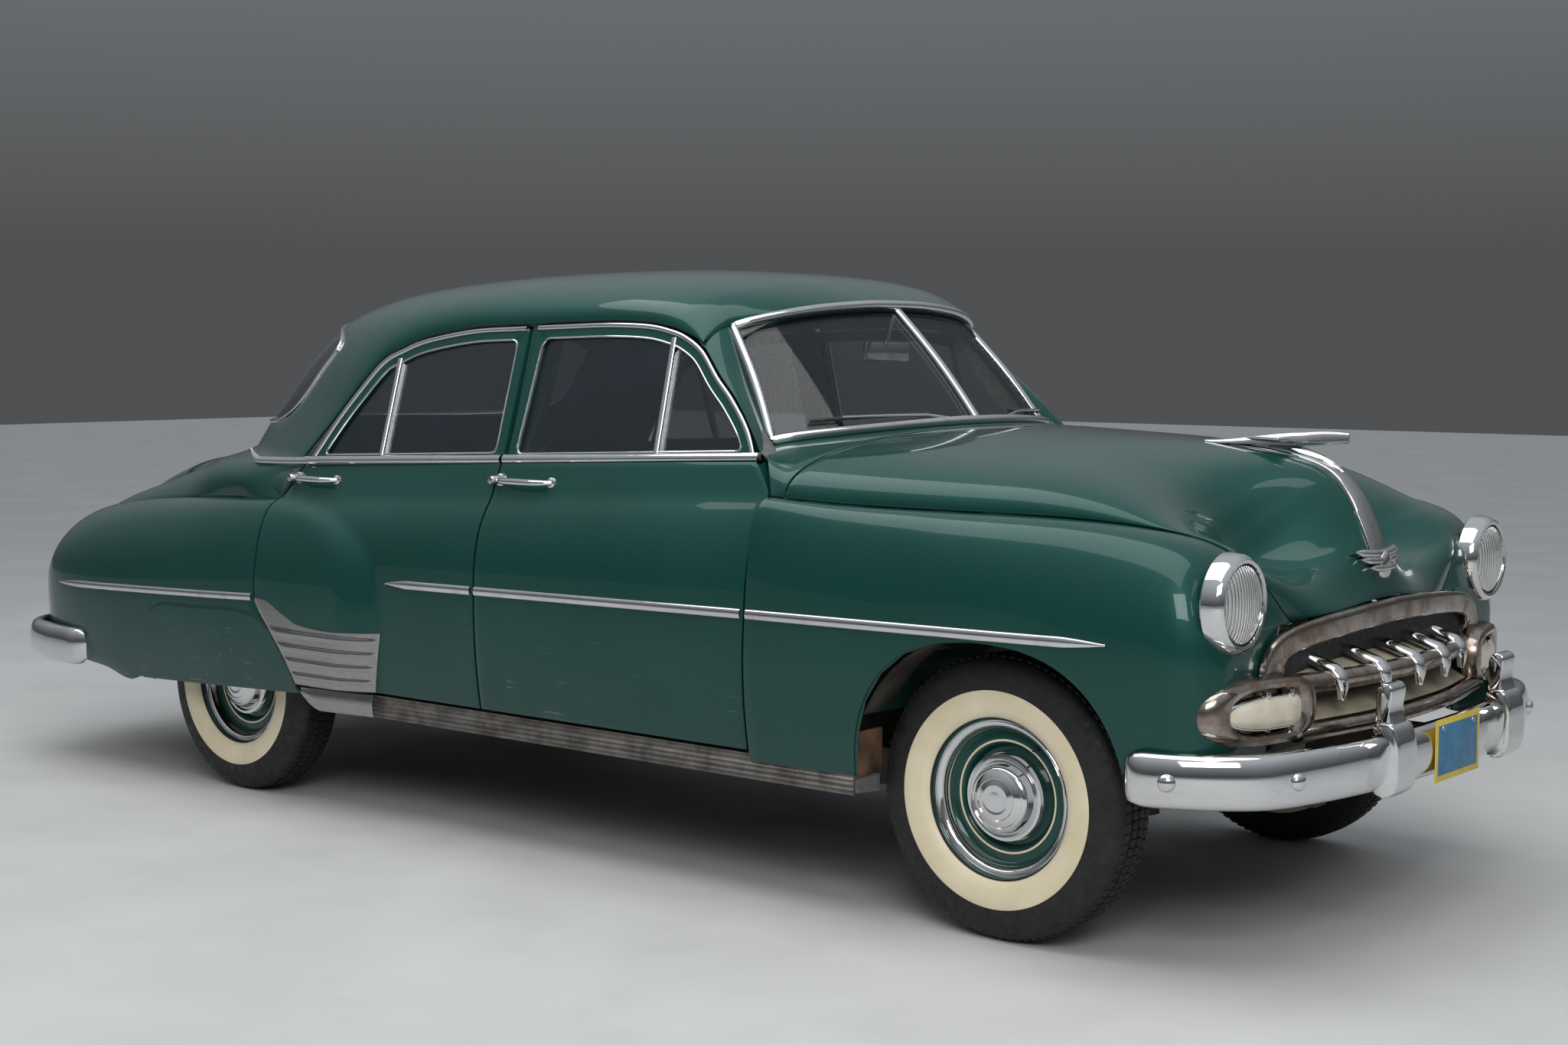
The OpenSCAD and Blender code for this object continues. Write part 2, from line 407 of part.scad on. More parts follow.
// Rear fender and the skirt that hangs in its opening
skirt_back = -305;
tail_o = -1165;
function skirt_top(o) = at(REAR, 2, max(o, -200)) - 4;
module fender_rear() {
    o_all = concat([244], [for (k = [1:7]) 244 - 546 * k / 7], [skirt_back - 14, skirt_back - 24], [for (i = [5:len(REAR) - 1]) REAR[i][0]]);
    function low(o) = o > skirt_back - 20 ? skirt_top(o) + seat_c : at(REAR, 2, min(o, -400));
    function row(o, d) = let (l = low(o)) concat(
        [for (j = [0:2]) let (z = l + (max(rear_wide(o), l + 4) - l) * j / 3) [rx + o, -(fender_w(rx + o, z) - d), z]],
        [for (j = [0:6]) let (c = at(REAR, 4, o), z0 = max(rear_wide(o), l + 4), z = z0 + (c - seat_c - z0) * sin(90 * j / 6))
            [rx + o, -(max(fender_w(rx + o, z), at(REAR, 3, o) + seat_c) - (j < 6 ? d : 0)), z - (j > 3 ? d : 0)]]);
    back_first = [for (i = [len(o_all) - 1:-1:0]) o_all[i]];
    // Closed rear end: the last row drawn in towards the body by a share f, set back by a length
    inner = at(REAR, 3, tail_o) + seat_c;
    function face(d, f) = [for (q = row(tail_o, d)) let (w = -q[1], s = min(w, inner)) [q[0] - f[1] + 0.9 * d, -(s + (w - s) * f[0]), q[2]]];
    color(paint) skin(concat([for (f = TAIL_FACE) face(0, f)], [for (o = back_first) row(o, 0)]),
        concat([for (f = TAIL_FACE) face(panel_t, f)], [for (o = back_first) row(o, panel_t)]));
}
// Rear end of the fender: [share of the width kept, length set back]
TAIL_FACE = [[0.1, 6], [0.5, 6], [0.92, 5]];
tail_x = rx + tail_o - 6;
module fender_rear_right() { fender_rear(); }
module fender_rear_left() { other_side() fender_rear(); }
module skirt() {
    n = 7;
    front = function (z) max(at(DOOR_REAR, 1, z) - gap, 244);
    function row(v, d) = [for (i = [0:n]) let (zt = skirt_top(-302 + 546 * i / n), z0 = 352 + 22 * i / n, z = z0 + (zt - z0) * v,
        o = -302 + (v == 1 ? 546 : front(z) + 302) * i / n) [rx + o, -(fender_w(rx + o, z) - d), z]];
    color(paint) skin([for (v = [5:-1:0]) row(v / 5, 0)], [for (v = [5:-1:0]) row(v / 5, panel_t)]);
}
module skirt_right() { skirt(); }
module skirt_left() { other_side() skirt(); }

// Doors
module door_panel(front, back, wf, rear) {
    // Rows from the bottom up, columns from front to back
    n = rear ? 12 : 5;
    function height(x, j) = j < 4 ? door_low_z + (wide_z - door_low_z) * j / 3 : j < 9 ? wide_z + (crease(x) - wide_z) * [0.3, 0.55, 0.75, 0.9, 1][j - 4] : belt(x);
    function pt(i, j, d) = let (x1 = front(height(front(1100), j)), x2 = back(height(back(1000), j)) + (d > 0 ? 18 : 0),
        x = x1 + (x2 - x1) * i / n, z = height(x, j)) [x, -((d > 0 ? door_w(x, z) : rear ? rear_door_w(x, z) : door_w(x, z)) - d), z];
    skin([for (j = [0:9]) [for (i = [0:n]) pt(i, j, 0)]], [for (j = [0:9]) [for (i = [0:n]) pt(i, j, j == 9 ? door_t * 0.8 : door_t)]]);
}
function front_edge(z) = fx + at(DOOR_FRONT, 1, z) - gap / 2;
function split_front(z) = door_split_x + gap / 2;
function split_back(z) = door_split_x - gap / 2;
function rear_edge(z) = rx + at(DOOR_REAR, 1, z) + gap / 2;
arch_f = [for (p = ARCH) if (p[0] > door_split_x + 100) p];
arch_r = [for (p = ARCH) if (p[0] < door_split_x - 40) p];
split_top = 1498;
pillar_gap = 14;
// Outline of a window frame inset by d from the roof's edge, closed along a line under the belt
function front_frame(d, low) = let (e = shift(arch_f, d), x1 = door_split_x + pillar_gap * (1) + d - 8)
    concat([for (p = e) if (p[1] > low(p[0])) p], [[x1, split_top - d], [door_split_x + gap / 2 + d - 8 + 2, low(0)], [foot_x(e, low), low(foot_x(e, low))]]);
function rear_frame(d, low) = let (e = shift(arch_r, d), x1 = door_split_x - pillar_gap - d + 8, xe = foot_x([for (i = [len(e) - 1:-1:0]) e[i]], low))
    concat([[x1, split_top - d]], [for (p = e) if (p[1] > low(p[0])) p], [[xe, low(xe)], [door_split_x - gap / 2 - d + 6, low(0)]]);
// Where the frame's line comes down to the low line
function foot_x(e, low, i = 0) = e[i][1] < low(e[i][0]) && e[i + 1][1] >= low(e[i + 1][0])
    ? let (a = low(e[i][0]) - e[i][1], b = e[i + 1][1] - low(e[i + 1][0])) e[i][0] + (e[i + 1][0] - e[i][0]) * a / (a + b)
    : i >= len(e) - 2 ? e[0][0] : foot_x(e, low, i + 1);
frame_low = function (x) belt(x) - 22;
glass_low = function (x) window_low(x);
frame_inset = 10;
frame_band = 44;
module door_front() {
    color(paint) welded() {
        door_panel(function (z) front_edge(z), function (z) split_front(z), 0, false);
        difference() {
            window_slab(front_frame(frame_inset, frame_low), 0, frame_t);
            window_slab(front_frame(frame_band, glass_low), -1, frame_t + 1);
        }
        // Division bar of the vent window
        window_slab([[fx - 1130, 1120], [fx - 1146, 1120], [fx - 1170, 1462], [fx - 1154, 1462]], 1, frame_t / 2 - glass_t / 2 - seat_c);
        // Hinge leaves
        for (z = [540, 880]) box([front_edge(z) - 20, hinge_x - 2 * seat_c], [-848, -822], [z - 40, z + 40]);
    }
}
module door_rear() {
    color(paint) welded() {
        door_panel(function (z) split_back(z), function (z) rear_edge(z), 0, true);
        difference() {
            window_slab(rear_frame(frame_inset, frame_low), 0, frame_t);
            window_slab(rear_frame(frame_band, glass_low), -1, frame_t + 1);
        }
        window_slab([[rx + 676, 1085], [rx + 660, 1085], [rx + 646, 1400], [rx + 662, 1400]], 1, frame_t / 2 - glass_t / 2 - seat_c);
    }
}
module glass_front() { color("#9fb8c0") window_slab(front_frame(frame_band + seat_c, function (x) window_low(x) + seat_c), frame_t / 2 - glass_t / 2, frame_t / 2 + glass_t / 2); }
module glass_rear() { color("#9fb8c0") window_slab(rear_frame(frame_band + seat_c, function (x) window_low(x) + seat_c), frame_t / 2 - glass_t / 2, frame_t / 2 + glass_t / 2); }
module door_front_right() { door_front(); }
module door_front_left() { other_side() door_front(); }
module door_rear_right() { door_rear(); }
module door_rear_left() { other_side() door_rear(); }
module glass_front_right() { glass_front(); }
module glass_front_left() { other_side() glass_front(); }
module glass_rear_right() { glass_rear(); }
module glass_rear_left() { other_side() glass_rear(); }

// Windscreen of two panes with a centre post, set in the cowl and the roof
WINDSCREEN_TOP = [[-905, 0, 1550], [-908, 110, 1549], [-918, 225, 1543], [-938, 340, 1533], [-970, 440, 1518], [-1010, 520, 1500], [-1046, 562, 1484]];
// Glass grown by c on every side, so that the same form cuts its groove
module windscreen_glass(c) {
    n = 6;
    pt = function (k, v, d) let (a = COWL[abs(k)], b = WINDSCREEN_TOP[abs(k)], w = a[1] + (b[1] - a[1]) * v - (abs(k) == n ? 4 - c : 0), bow = 10 * sin(180 * v))
        [fx + a[0] + (b[0] - a[0]) * v - 3 - d * 0.8 + bow, -sign(k) * w, a[2] + seat_c + (b[2] - a[2] - 4) * v - d * 0.4 + bow * 0.5];
    row = function (i, d) [for (k = [-n:n]) pt(k, i * (1 + c / 200) / 4 - c / 400, d)];
    skin([for (i = [0:4]) row(i, -c)], [for (i = [0:4]) row(i, glass_t + c)]);
}
module windscreen() color("#9fb8c0") windscreen_glass(0);
module rear_window() color("#9fb8c0") back_patch(1.2, 10, 10 + glass_t);

// Hood with its prow, and the ornament on it
module hood() color(paint) welded() {
    skin([for (i = [len(HOOD) - 1:-1:0]) [for (k = [-hood_n:hood_n]) hood_at(HOOD[i], k, 0)]], [for (i = [len(HOOD) - 1:-1:0]) [for (k = [-hood_n:hood_n]) hood_at(HOOD[i], k, panel_t)]]);
    // Hinge arms that dip under the cowl, with their pins
    for (s = [-1, 1]) translate([hood_hinge_x, s * hood_arm_y, hood_hinge_z]) rotate([90, 0, 0]) linear_extrude(6, center = true)
        polygon([[-9, -9], [-9, 9], [9, 9], [14, -62], [185, -62], [185, 26], [225, 24], [225, -84], [-4, -84]]);
    hinge_pins(hood_hinge_x, hood_hinge_z, hood_arm_y, pin_r);
}
module hood_ornament() color(bright) translate([fx + 300, 0, 1191.2]) {
    rotate([90, 0, 0]) translate([0, 0, -14]) linear_extrude(28) polygon([[-190, 0], [60, 6], [215, 20], [190, 32], [20, 26], [-190, 6]]);
    translate([0, 0, 8]) linear_extrude(10) polygon([[40, -14], [120, -70], [90, -70], [-30, -14], [-30, 14], [90, 70], [120, 70], [40, 14]]);
}

// Deck lid
deck_n = 8;
function deck_at(s, k, d) = let (a = 90 * k / deck_n, ws = at(REAR, 5, s[2]) - gap - 24 * s[3] - 0.75 * d * (1 - s[3]), zs = at(REAR, 6, s[2]) + gap - d * 0.2, xc = s[0] + d * s[3], xs = s[2] + d * s[3],
    zc = max(s[1] - d * (1 - s[3]), zs + 1), w = ws * pow(abs(sin(a)), 0.87))
    [rx + xc + (xs - xc) * pow(w / ws, 2.2), -sign(k) * w, zs + (zc - zs) * pow(cos(a), 0.87)];
module deck_lid() color(paint) welded() {
    skin([for (s = DECK) [for (k = [-deck_n:deck_n]) deck_at(s, k, 0)]], [for (s = DECK) [for (k = [-deck_n:deck_n]) deck_at(s, k, panel_t)]]);
    // Hinge arms that dip under the shelf, with their pins
    for (s = [-1, 1]) translate([deck_hinge_x, s * deck_arm_y, deck_hinge_z]) rotate([90, 0, 0]) linear_extrude(6, center = true)
        polygon([[9, -9], [9, 9], [-9, 9], [-30, -80], [-150, -80], [-150, 22], [-184, 16], [-184, -104], [-14, -104]]);
    hinge_pins(deck_hinge_x, deck_hinge_z, deck_arm_y, pin_r);
}

// Grille: bowed top bar, legs, toothed middle bar, lower bar and lamp housings
module bow_bar(o, bow, half, z) {
    translate([fx + o - bow_r(bow, half), 0, z]) rotate([0, 0, -asin(half / bow_r(bow, half))])
        rotate_extrude(angle = 2 * asin(half / bow_r(bow, half)), $fn = 96) translate([bow_r(bow, half), 0]) children();
}
function bow_r(bow, half) = (half * half + bow * bow) / (2 * bow);
fender_front_x = fx + 589;
nose = mirrored(NOSE, function (r) fx + r[1]);
// Band behind the nose line between depths d0 and d1, as high as the lamp housings
nacelle_z = 612;
nacelle_h = 80;
module nose_band(d0, d1) {
    line = [for (q = nose) if (q[1] < -430) q];
    translate([0, 0, nacelle_z - nacelle_h]) linear_extrude(2 * nacelle_h) polygon(concat(shift(line, d0), [for (q = shift([for (i = [len(line) - 1:-1:0]) line[i]], -d1)) q]));
}
// Oval seen from the front, half height h, from half width y0 out to y1
module oval(h, y0, y1) { translate([fx + 300, 0, nacelle_z]) rotate([90, 0, 90]) linear_extrude(600) { translate([-y1 + h, 0]) circle(h, $fn = 48); translate([-y1 + h, -h]) square([y1 - h - y0, 2 * h]); } }
corner = [for (o = FENDER_TIP) [fx + o, -at(FRONT, 1, o)]];
module nacelle() {
    difference() {
        intersection() { nose_band(2, 90); oval(nacelle_h, 440, 872); }
        // Seat on the fender's front corner
        translate([0, 0, 400]) linear_extrude(400) polygon(concat([[fx + 300, 0], [fx + 300, -880]], [for (q = shift(corner, -1)) q], [[fender_front_x + seat_c, -760], [fender_front_x + seat_c, 0]]));
        intersection() { nose_band(-20, 26); oval(44, 430, 750); }
    }
}
module tooth(y) { side_cut(y - 17, y + 17) translate([fx + 690 - 40 * pow(y / 350, 2), 655]) polygon([[-75, 26], [-70, 42], [-5, 36], [22, 22], [30, -6], [26, -43], [8, -26], [-25, -4]]); }
module grille() color(bright) welded() {
    // Frame: top bar and legs
    back = fender_front_x + 2 * seat_c;
    t = concat([for (i = [len(GRILLE) - 1:-1:1]) [-1, i]], [for (i = [0:len(GRILLE) - 1]) [1, i]]);
    mid = [for (q = t) let (g = GRILLE[q[1]]) [fx + g[2], q[0] * g[0], g[1]]];
    tube([for (i = [0:len(t) - 1]) let (d = mid[min(i + 1, len(t) - 1)] - mid[max(i - 1, 0)], e = [-d[2], d[1]] / norm([d[1], d[2]]), h = GRILLE[t[i][1]][3])
        [for (q = [[back - mid[i][0], -h], [2, -h], [10, -h * 0.5], [12, 0], [8, h * 0.6], [max(-4, back - mid[i][0] + 1), h], [back - mid[i][0], h]]) mid[i] + [q[0], e[0] * q[1], e[1] * q[1]]]]);
    both() {
        nacelle();
        // Teeth hooked over the middle bar
        for (y = [175, 350]) tooth(y);
    }
    tooth(0);
    bow_bar(690, 76, 485, 655) circle(25, $fn = 24);
    plan_bar([for (q = nose) if (abs(q[1]) < 520) q], 548, [[-44, -20], [-12, -22], [-2, -9], [0, 4], [-6, 17], [-20, 22], [-44, 20]]);
}

module headlamp() color(bright) translate([fx + lamp_o, -lamp_y, lamp_z]) rotate([0, 90, 0]) rotate_extrude($fn = 64)
    polygon([[0, -80], [60, -80], [lamp_r - 14.4, -30], [lamp_r - 14.4, 0], [lamp_r - 4, 0], [lamp_r, 10], [lamp_r - 6, 26], [lamp_r - 24, 34], [89, 30], [60, 44], [0, 50]]);
module headlamp_right() { headlamp(); }
module headlamp_left() { other_side() headlamp(); }
module parking_lamp() color("#e8e2d0") intersection() {
    nose_band(8, 26 - seat_c);
    oval(44 - seat_c, 515, 750 - seat_c);
    box([fender_front_x + 2 * seat_c, fx + 800], [-900, 0], [400, 800]);
}
module parking_lamp_right() { parking_lamp(); }
module parking_lamp_left() { other_side() parking_lamp(); }
module tail_lamp() color("#8a1414") translate([tail_x - seat_c, -640, 515]) rotate([0, -90, 0]) cylinder(r = 32, h = 24, $fn = 40);
module tail_lamp_right() { tail_lamp(); }
module tail_lamp_left() { other_side() tail_lamp(); }

// Bumpers
bumper_section = [[-30, -0.43], [-13, -0.5], [-4, -0.36], [0, -0.12], [0, 0.12], [-4, 0.36], [-13, 0.5], [-30, 0.43]];
function bumper_loop() = [for (q = bumper_section) [q[0], q[1] * bumper_h]];
module bumper_front() color(bright) welded() {
    plan_bar(mirrored(BUMPER_FRONT, function (r) fx + bumper_o - r[1]), bumper_z, bumper_loop());
    both() {
        box([fx + 650 + seat_c, fx + bumper_o - 38], [-rail_y + 2, -rail_y + rail_w - 2], [420, 436]);
        // Guard: a post on a rounded foot
        side_cut(guard_y - 34, guard_y + 34) polygon([for (q = [[-40, 390], [4, 390], [14, 430], [14, 500], [2, 560], [-14, 600], [-16, 650], [-4, 676], [-12, 692], [-48, 688], [-50, 560]]) q + [fx + bumper_o, 0]]);
        side_cut(guard_y - 52, guard_y + 52) polygon([for (q = [[-50, 398], [8, 398], [20, 440], [20, 520], [4, 572], [-50, 572]]) q + [fx + bumper_o, 0]]);
    }
}
rear_tip_x = rx - 1265;
module bumper_rear() color(bright) welded() {
    translate([0, 0, 0]) mirror([1, 0, 0]) plan_bar(mirrored(BUMPER_REAR, function (r) -rear_tip_x - r[1]), 411, bumper_loop());
    both() box([rear_tip_x + 20, rx - 1110 - seat_c], [-rail_y + 2, -rail_y + rail_w - 2], [405, 421]);
}
module plate() color("#2d5f8a") difference() {
    box([fx + bumper_o + seat_c, fx + bumper_o + plate_t], [-plate_w / 2, plate_w / 2], [bumper_z - plate_h / 2, bumper_z + plate_h / 2]);
    both() translate([fx + bumper_o - 5, -plate_hole_gap / 2, bumper_z + plate_h / 2 - 15]) rotate([0, 90, 0]) cylinder(r = plate_hole_r, h = 20, $fn = 24);
}
plate_t = 3;
plate_w = 264;
plate_h = 152;
plate_hole_gap = 178;
plate_hole_r = 3.5;

// Cabin
module dash() color("#4c5452") box([firewall_x - 205, firewall_x - floor_t - seat_c], [-640, 640], [935, 1072]);
module seat_front() color("#7f8a80") {
    side_cut(-640, 640) polygon([[fx - 1180, tunnel_z + 1], [fx - 1160, 690], [fx - 1260, 710], [fx - 1640, 640], [fx - 1800, 1060], [fx - 1880, 1060], [fx - 1760, tunnel_z + 1]]);
    both() box([fx - 1700, fx - 1250], [-560, -500], [rail_top + floor_t + seat_c, tunnel_z + 5]);
}
module seat_rear() color("#7f8a80") {
    side_cut(-585, 585) polygon([[rx + 650, 540 + seat_c], [rx + 650, 690], [rx + 560, 705], [rx + 180, 650], [rx + 20, 1010], [rx - 60, 1020], [rx + 40, 540 + seat_c]]);
}
column_r = 22;
// Places what follows along the steering column, from the wheel's hub forward and down
module on_column() { translate([fx - 1050, driver_y, 990]) rotate([0, 115, 0]) children(); }
module steering_column() color(dark) on_column() cylinder(r = column_r, h = 520, $fn = 40);
module steering_wheel() color(dark) on_column() {
    translate([0, 0, -70]) rotate_extrude($fn = 64) translate([wheel_rim_r - 11, 0]) circle(11, $fn = 24);
    translate([0, 0, -76]) cylinder(r = 30, h = 76 - seat_c, $fn = 40);
    for (a = [0, 120, 240]) rotate([0, 0, a]) translate([0, -8, -74]) cube([wheel_rim_r - 12, 16, 8]);
}

// Drive line
module engine() color("#5a5f60") {
    box([fx - 500, fx + 330], [-170, 170], [380, 980]);
    both() box([fx - 170, fx - 100], [-rail_y + rail_w + seat_c, -160], [382, 410]);
}
exhaust_z = 225;
module exhaust() color("#6a6560") {
    translate([fx - 350, 250, exhaust_z]) rotate([0, -90, 0]) cylinder(r = 24, h = wheelbase + 800, $fn = 40);
    // Hangers under the cross members
    for (x = [fx - 420, -300]) box([x - 15, x + 15], [240, 260], [exhaust_z, 260 - seat_c]);
}
module fuel_tank() color(dark) box([rx - 1030, rx - 560], [-330, 330], [300, 455 - seat_c]);
kingpin_y = front_track / 2 - kingpin_in;
kingpin_h = 90;
module front_suspension() color(dark) {
    box([fx - 60, fx + 60], [-210, 210], [240, 320]);
    both() {
        box([fx - 60, fx + 60], [-rail_y + rail_w + seat_c, -200], [236, axle_z + kingpin_h + 20]);
        // Lower and upper arm out to the kingpin's ends
        translate([fx, 0, axle_z - kingpin_h - seat_c - 25]) linear_extrude(25) polygon([[-110, -205], [110, -205], [25, -kingpin_y - 22], [-25, -kingpin_y - 22]]);
        translate([fx, 0, axle_z + kingpin_h + seat_c]) linear_extrude(20) polygon([[-60, -300], [60, -300], [22, -kingpin_y - 22], [-22, -kingpin_y - 22]]);
    }
}
spindle_r = 18;
hub_in = 30;
module knuckle() color("#444444") translate([fx, -front_track / 2, axle_z]) {
    rotate([90, 0, 0]) translate([0, 0, -kingpin_in]) cylinder(r = spindle_r, h = kingpin_in + 60, $fn = 40);
    translate([0, kingpin_in, -kingpin_h]) cylinder(r = 20, h = 2 * kingpin_h, $fn = 40);
    rotate([-90, 0, 0]) translate([0, 0, hub_in + 2 * seat_c]) cylinder(r = 30, h = kingpin_in - hub_in - 2 * seat_c, $fn = 40);
}
module knuckle_right() { knuckle(); }
module knuckle_left() { other_side() knuckle(); }
module rear_axle() color(dark) {
    translate([rx, 0, axle_z]) {
        rotate([90, 0, 0]) cylinder(r = 38, h = rear_track - 2 * hub_in - 2, center = true, $fn = 40);
        rotate([90, 0, 0]) cylinder(r = spindle_r, h = rear_track + 120, center = true, $fn = 40);
        sphere(r = 130, $fn = 48);
        // Torque tube
        rotate([0, 90, 0]) cylinder(r = 45, h = 900, $fn = 40);
    }
    // Leaf springs beside the rails
    both() side_cut(rail_y + seat_c, rail_y + 55) polygon([[rx + 640, 268], [rx + 640, 300], [rx + 300, 345], [rx, 398], [rx - 300, 392], [rx - 640, 404], [rx - 640, 376], [rx - 300, 360], [rx, 364], [rx + 300, 313]]);
}

// Wheels: disc, rim and hub cap in one; tyre by itself
module wheel() color(paint) rotate([90, 0, 0]) rotate_extrude($fn = 72)
    polygon([[spindle_r + seat_c, -hub_in], [70, -hub_in], [90, 20], [150, 30], [rim_r - 12, 0], [rim_r - 12, -62], [rim_r, -62], [rim_r, 62], [rim_r - 12, 62], [rim_r - 18, 30], [150, 42], [128, 44], [110, 75], [60, 92], [spindle_r + seat_c, 92]]);
module tyre() color("#1b1b1c") rotate([90, 0, 0]) rotate_extrude($fn = 96)
    polygon([[rim_r + seat_c, -62], [rim_r + 30, -78], [265, -tyre_w / 2], [310, -78], [335, -64], [tyre_r - 4, -50], [tyre_r, 0], [tyre_r - 4, 50], [335, 64], [310, 78], [265, tyre_w / 2], [rim_r + 30, 78], [rim_r + seat_c, 62]]);
module at_front() { translate([fx, -front_track / 2, axle_z]) children(); }
module at_rear() { translate([rx, -rear_track / 2, axle_z]) children(); }
module wheel_front_right() { at_front() wheel(); }
module wheel_front_left() { other_side() at_front() wheel(); }
module wheel_rear_right() { at_rear() wheel(); }
module wheel_rear_left() { other_side() at_rear() wheel(); }
module tyre_front_right() { at_front() tyre(); }
module tyre_front_left() { other_side() at_front() tyre(); }
module tyre_rear_right() { at_rear() tyre(); }
module tyre_rear_left() { other_side() at_rear() tyre(); }

frame();
floor();
body_shell();
fender_front_right();
fender_front_left();
fender_rear_right();
fender_rear_left();
skirt_right();
skirt_left();
hood();
hood_ornament();
deck_lid();
grille();
headlamp_right();
headlamp_left();
parking_lamp_right();
parking_lamp_left();
tail_lamp_right();
tail_lamp_left();
bumper_front();
bumper_rear();
plate();
windscreen();
rear_window();
door_front_right();
door_front_left();
door_rear_right();
door_rear_left();
glass_front_right();
glass_front_left();
glass_rear_right();
glass_rear_left();
dash();
seat_front();
seat_rear();
steering_column();
steering_wheel();
engine();
exhaust();
fuel_tank();
front_suspension();
knuckle_right();
knuckle_left();
rear_axle();
wheel_front_right();
wheel_front_left();
wheel_rear_right();
wheel_rear_left();
tyre_front_right();
tyre_front_left();
tyre_rear_right();
tyre_rear_left();
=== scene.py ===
# %% [markdown]
# # A rounded four-door sedan of about 1950
#
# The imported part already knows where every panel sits, how it moves and how big it is. This lesson
# dresses it: smooth painted skins over the plain panels, chrome that follows the body lines, wheels
# with cream walls, a worn toothed grille and a soft studio around it. Everything is drawn in
# millimetres in the frame of the part and turned into metres when a mesh is made.

# %% open the shared frame
import math
import bmesh
import bpy
import numpy as np
from mathutils import Matrix
from mathutils import Vector


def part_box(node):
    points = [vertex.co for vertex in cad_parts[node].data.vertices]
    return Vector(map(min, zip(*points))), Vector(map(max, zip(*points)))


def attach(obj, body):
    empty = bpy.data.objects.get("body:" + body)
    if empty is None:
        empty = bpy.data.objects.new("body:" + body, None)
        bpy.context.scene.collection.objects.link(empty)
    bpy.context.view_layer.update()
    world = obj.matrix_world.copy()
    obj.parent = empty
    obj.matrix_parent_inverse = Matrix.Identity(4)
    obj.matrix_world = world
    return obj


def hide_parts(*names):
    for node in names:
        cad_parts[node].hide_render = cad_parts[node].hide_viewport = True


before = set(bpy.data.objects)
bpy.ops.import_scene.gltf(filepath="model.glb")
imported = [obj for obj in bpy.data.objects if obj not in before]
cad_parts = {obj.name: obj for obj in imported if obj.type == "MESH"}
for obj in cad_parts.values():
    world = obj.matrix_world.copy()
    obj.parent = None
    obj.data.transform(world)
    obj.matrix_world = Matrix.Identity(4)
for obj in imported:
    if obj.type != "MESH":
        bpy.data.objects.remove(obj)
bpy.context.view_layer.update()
MM = 0.001
SIDES = {"right": 1, "left": -1}


def middle(node):
    low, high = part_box(node)
    return (low + high) / 2 / MM


FX = middle("tyre_front_right").x
RX = middle("tyre_rear_right").x
AXLE = middle("tyre_front_right").z
WHEELS = {f"{end}_{side}": middle(f"tyre_{end}_{side}") for end in ("front", "rear") for side in SIDES}
print("axles at", round(FX), round(RX), "height", round(AXLE))

# %% [markdown]
# ## The body lines
#
# A car body is drawn as a few tables of sections, the way a loft floor did it: each row is one
# section and each column one line along the car. Reading the tables with a smooth curve instead of
# straight chords gives panels without facets that still pass through every section of the part.

# %% tables of sections
# lean of the side glass, gap between panels, line between front and rear doors
LEAN = math.radians(17.75)
GAP = 7.0
SPLIT = -45.0
# height of the widest line of the flanks, its height over the sill, how far the sill is drawn in
WIDE_Z = 700
FALL = 378
TUCK = 40
# ahead of the axle, widest half width, seam half width, seam height
FRONT = [[-690, 900, 828, 1050], [-471, 899, 800, 1040], [-206, 896, 775, 1037], [84, 890, 745, 1036],
         [238, 882, 720, 1030], [346, 874, 695, 1020], [447, 862, 660, 1002], [507, 850, 625, 975],
         [545, 828, 580, 930], [569, 800, 540, 885], [583, 770, 443, 796]]
# middle ahead, middle height, edge ahead, depth of the hollow flanks
HOOD = [[-545, 1219, -633, 0], [-400, 1215, -460, 0], [-240, 1209, -290, 0], [30, 1197, -20, 6],
        [276, 1177, 230, 40], [405, 1157, 370, 95], [483, 1127, 450, 150], [536, 1072, 507, 172],
        [573, 1001, 545, 118], [601, 928, 569, 45], [630, 823, 583, 0]]
# ahead, half width, height
COWL = [[-606, 0, 1222], [-612, 120, 1221], [-630, 250, 1217], [-665, 380, 1210], [-715, 500, 1201],
        [-775, 600, 1190], [-826, 662, 1178], [-735, 772, 1139], [-683, 824, 1054]]
SCREEN_TOP = [[-905, 0, 1550], [-908, 110, 1549], [-918, 225, 1543], [-938, 340, 1533], [-970, 440, 1518],
              [-1010, 520, 1500], [-1046, 562, 1484]]
# half width, ahead and height of the roof's front edge
BROW = [[0, -901, 1560], [110, -904, 1559], [225, -914, 1553], [340, -934, 1543], [440, -966, 1528],
        [520, -1006, 1510], [562, -1038, 1494], [630, -1046, 1464], [690, -1045, 1442]]
# along from the front axle, height
ARCH = [[-772, 1137], [-822, 1221], [-896, 1299], [-967, 1359], [-1041, 1430], [-1110, 1468], [-1169, 1486],
        [-1259, 1501], [-1407, 1506], [-1587, 1502], [-1773, 1496], [-1965, 1488], [-2158, 1460],
        [-2263, 1428], [-2344, 1390], [-2421, 1307], [-2496, 1212], [-2578, 1085]]
# edge from the front axle, edge height, middle from the front axle, middle height, inset share
ROOF = [[-1045, 1442, -903, 1562, 0], [-1110, 1471, -985, 1603, 0], [-1169, 1489, -1090, 1632, 0],
        [-1259, 1503, -1233, 1650, 0], [-1407, 1508, -1413, 1661, 0], [-1587, 1504, -1613, 1665, 0],
        [-1773, 1498, -1833, 1663, 0], [-1965, 1490, -2093, 1655, 0], [-2158, 1462, -2433, 1634, 0.1],
        [-2263, 1430, -2733, 1598, 0.3], [-2344, 1392, -3003, 1530, 0.5], [-2421, 1309, -3193, 1424, 0.65],
        [-2496, 1214, -3363, 1274, 0.75], [-2619, 1070, -3503, 1092, 0.85]]
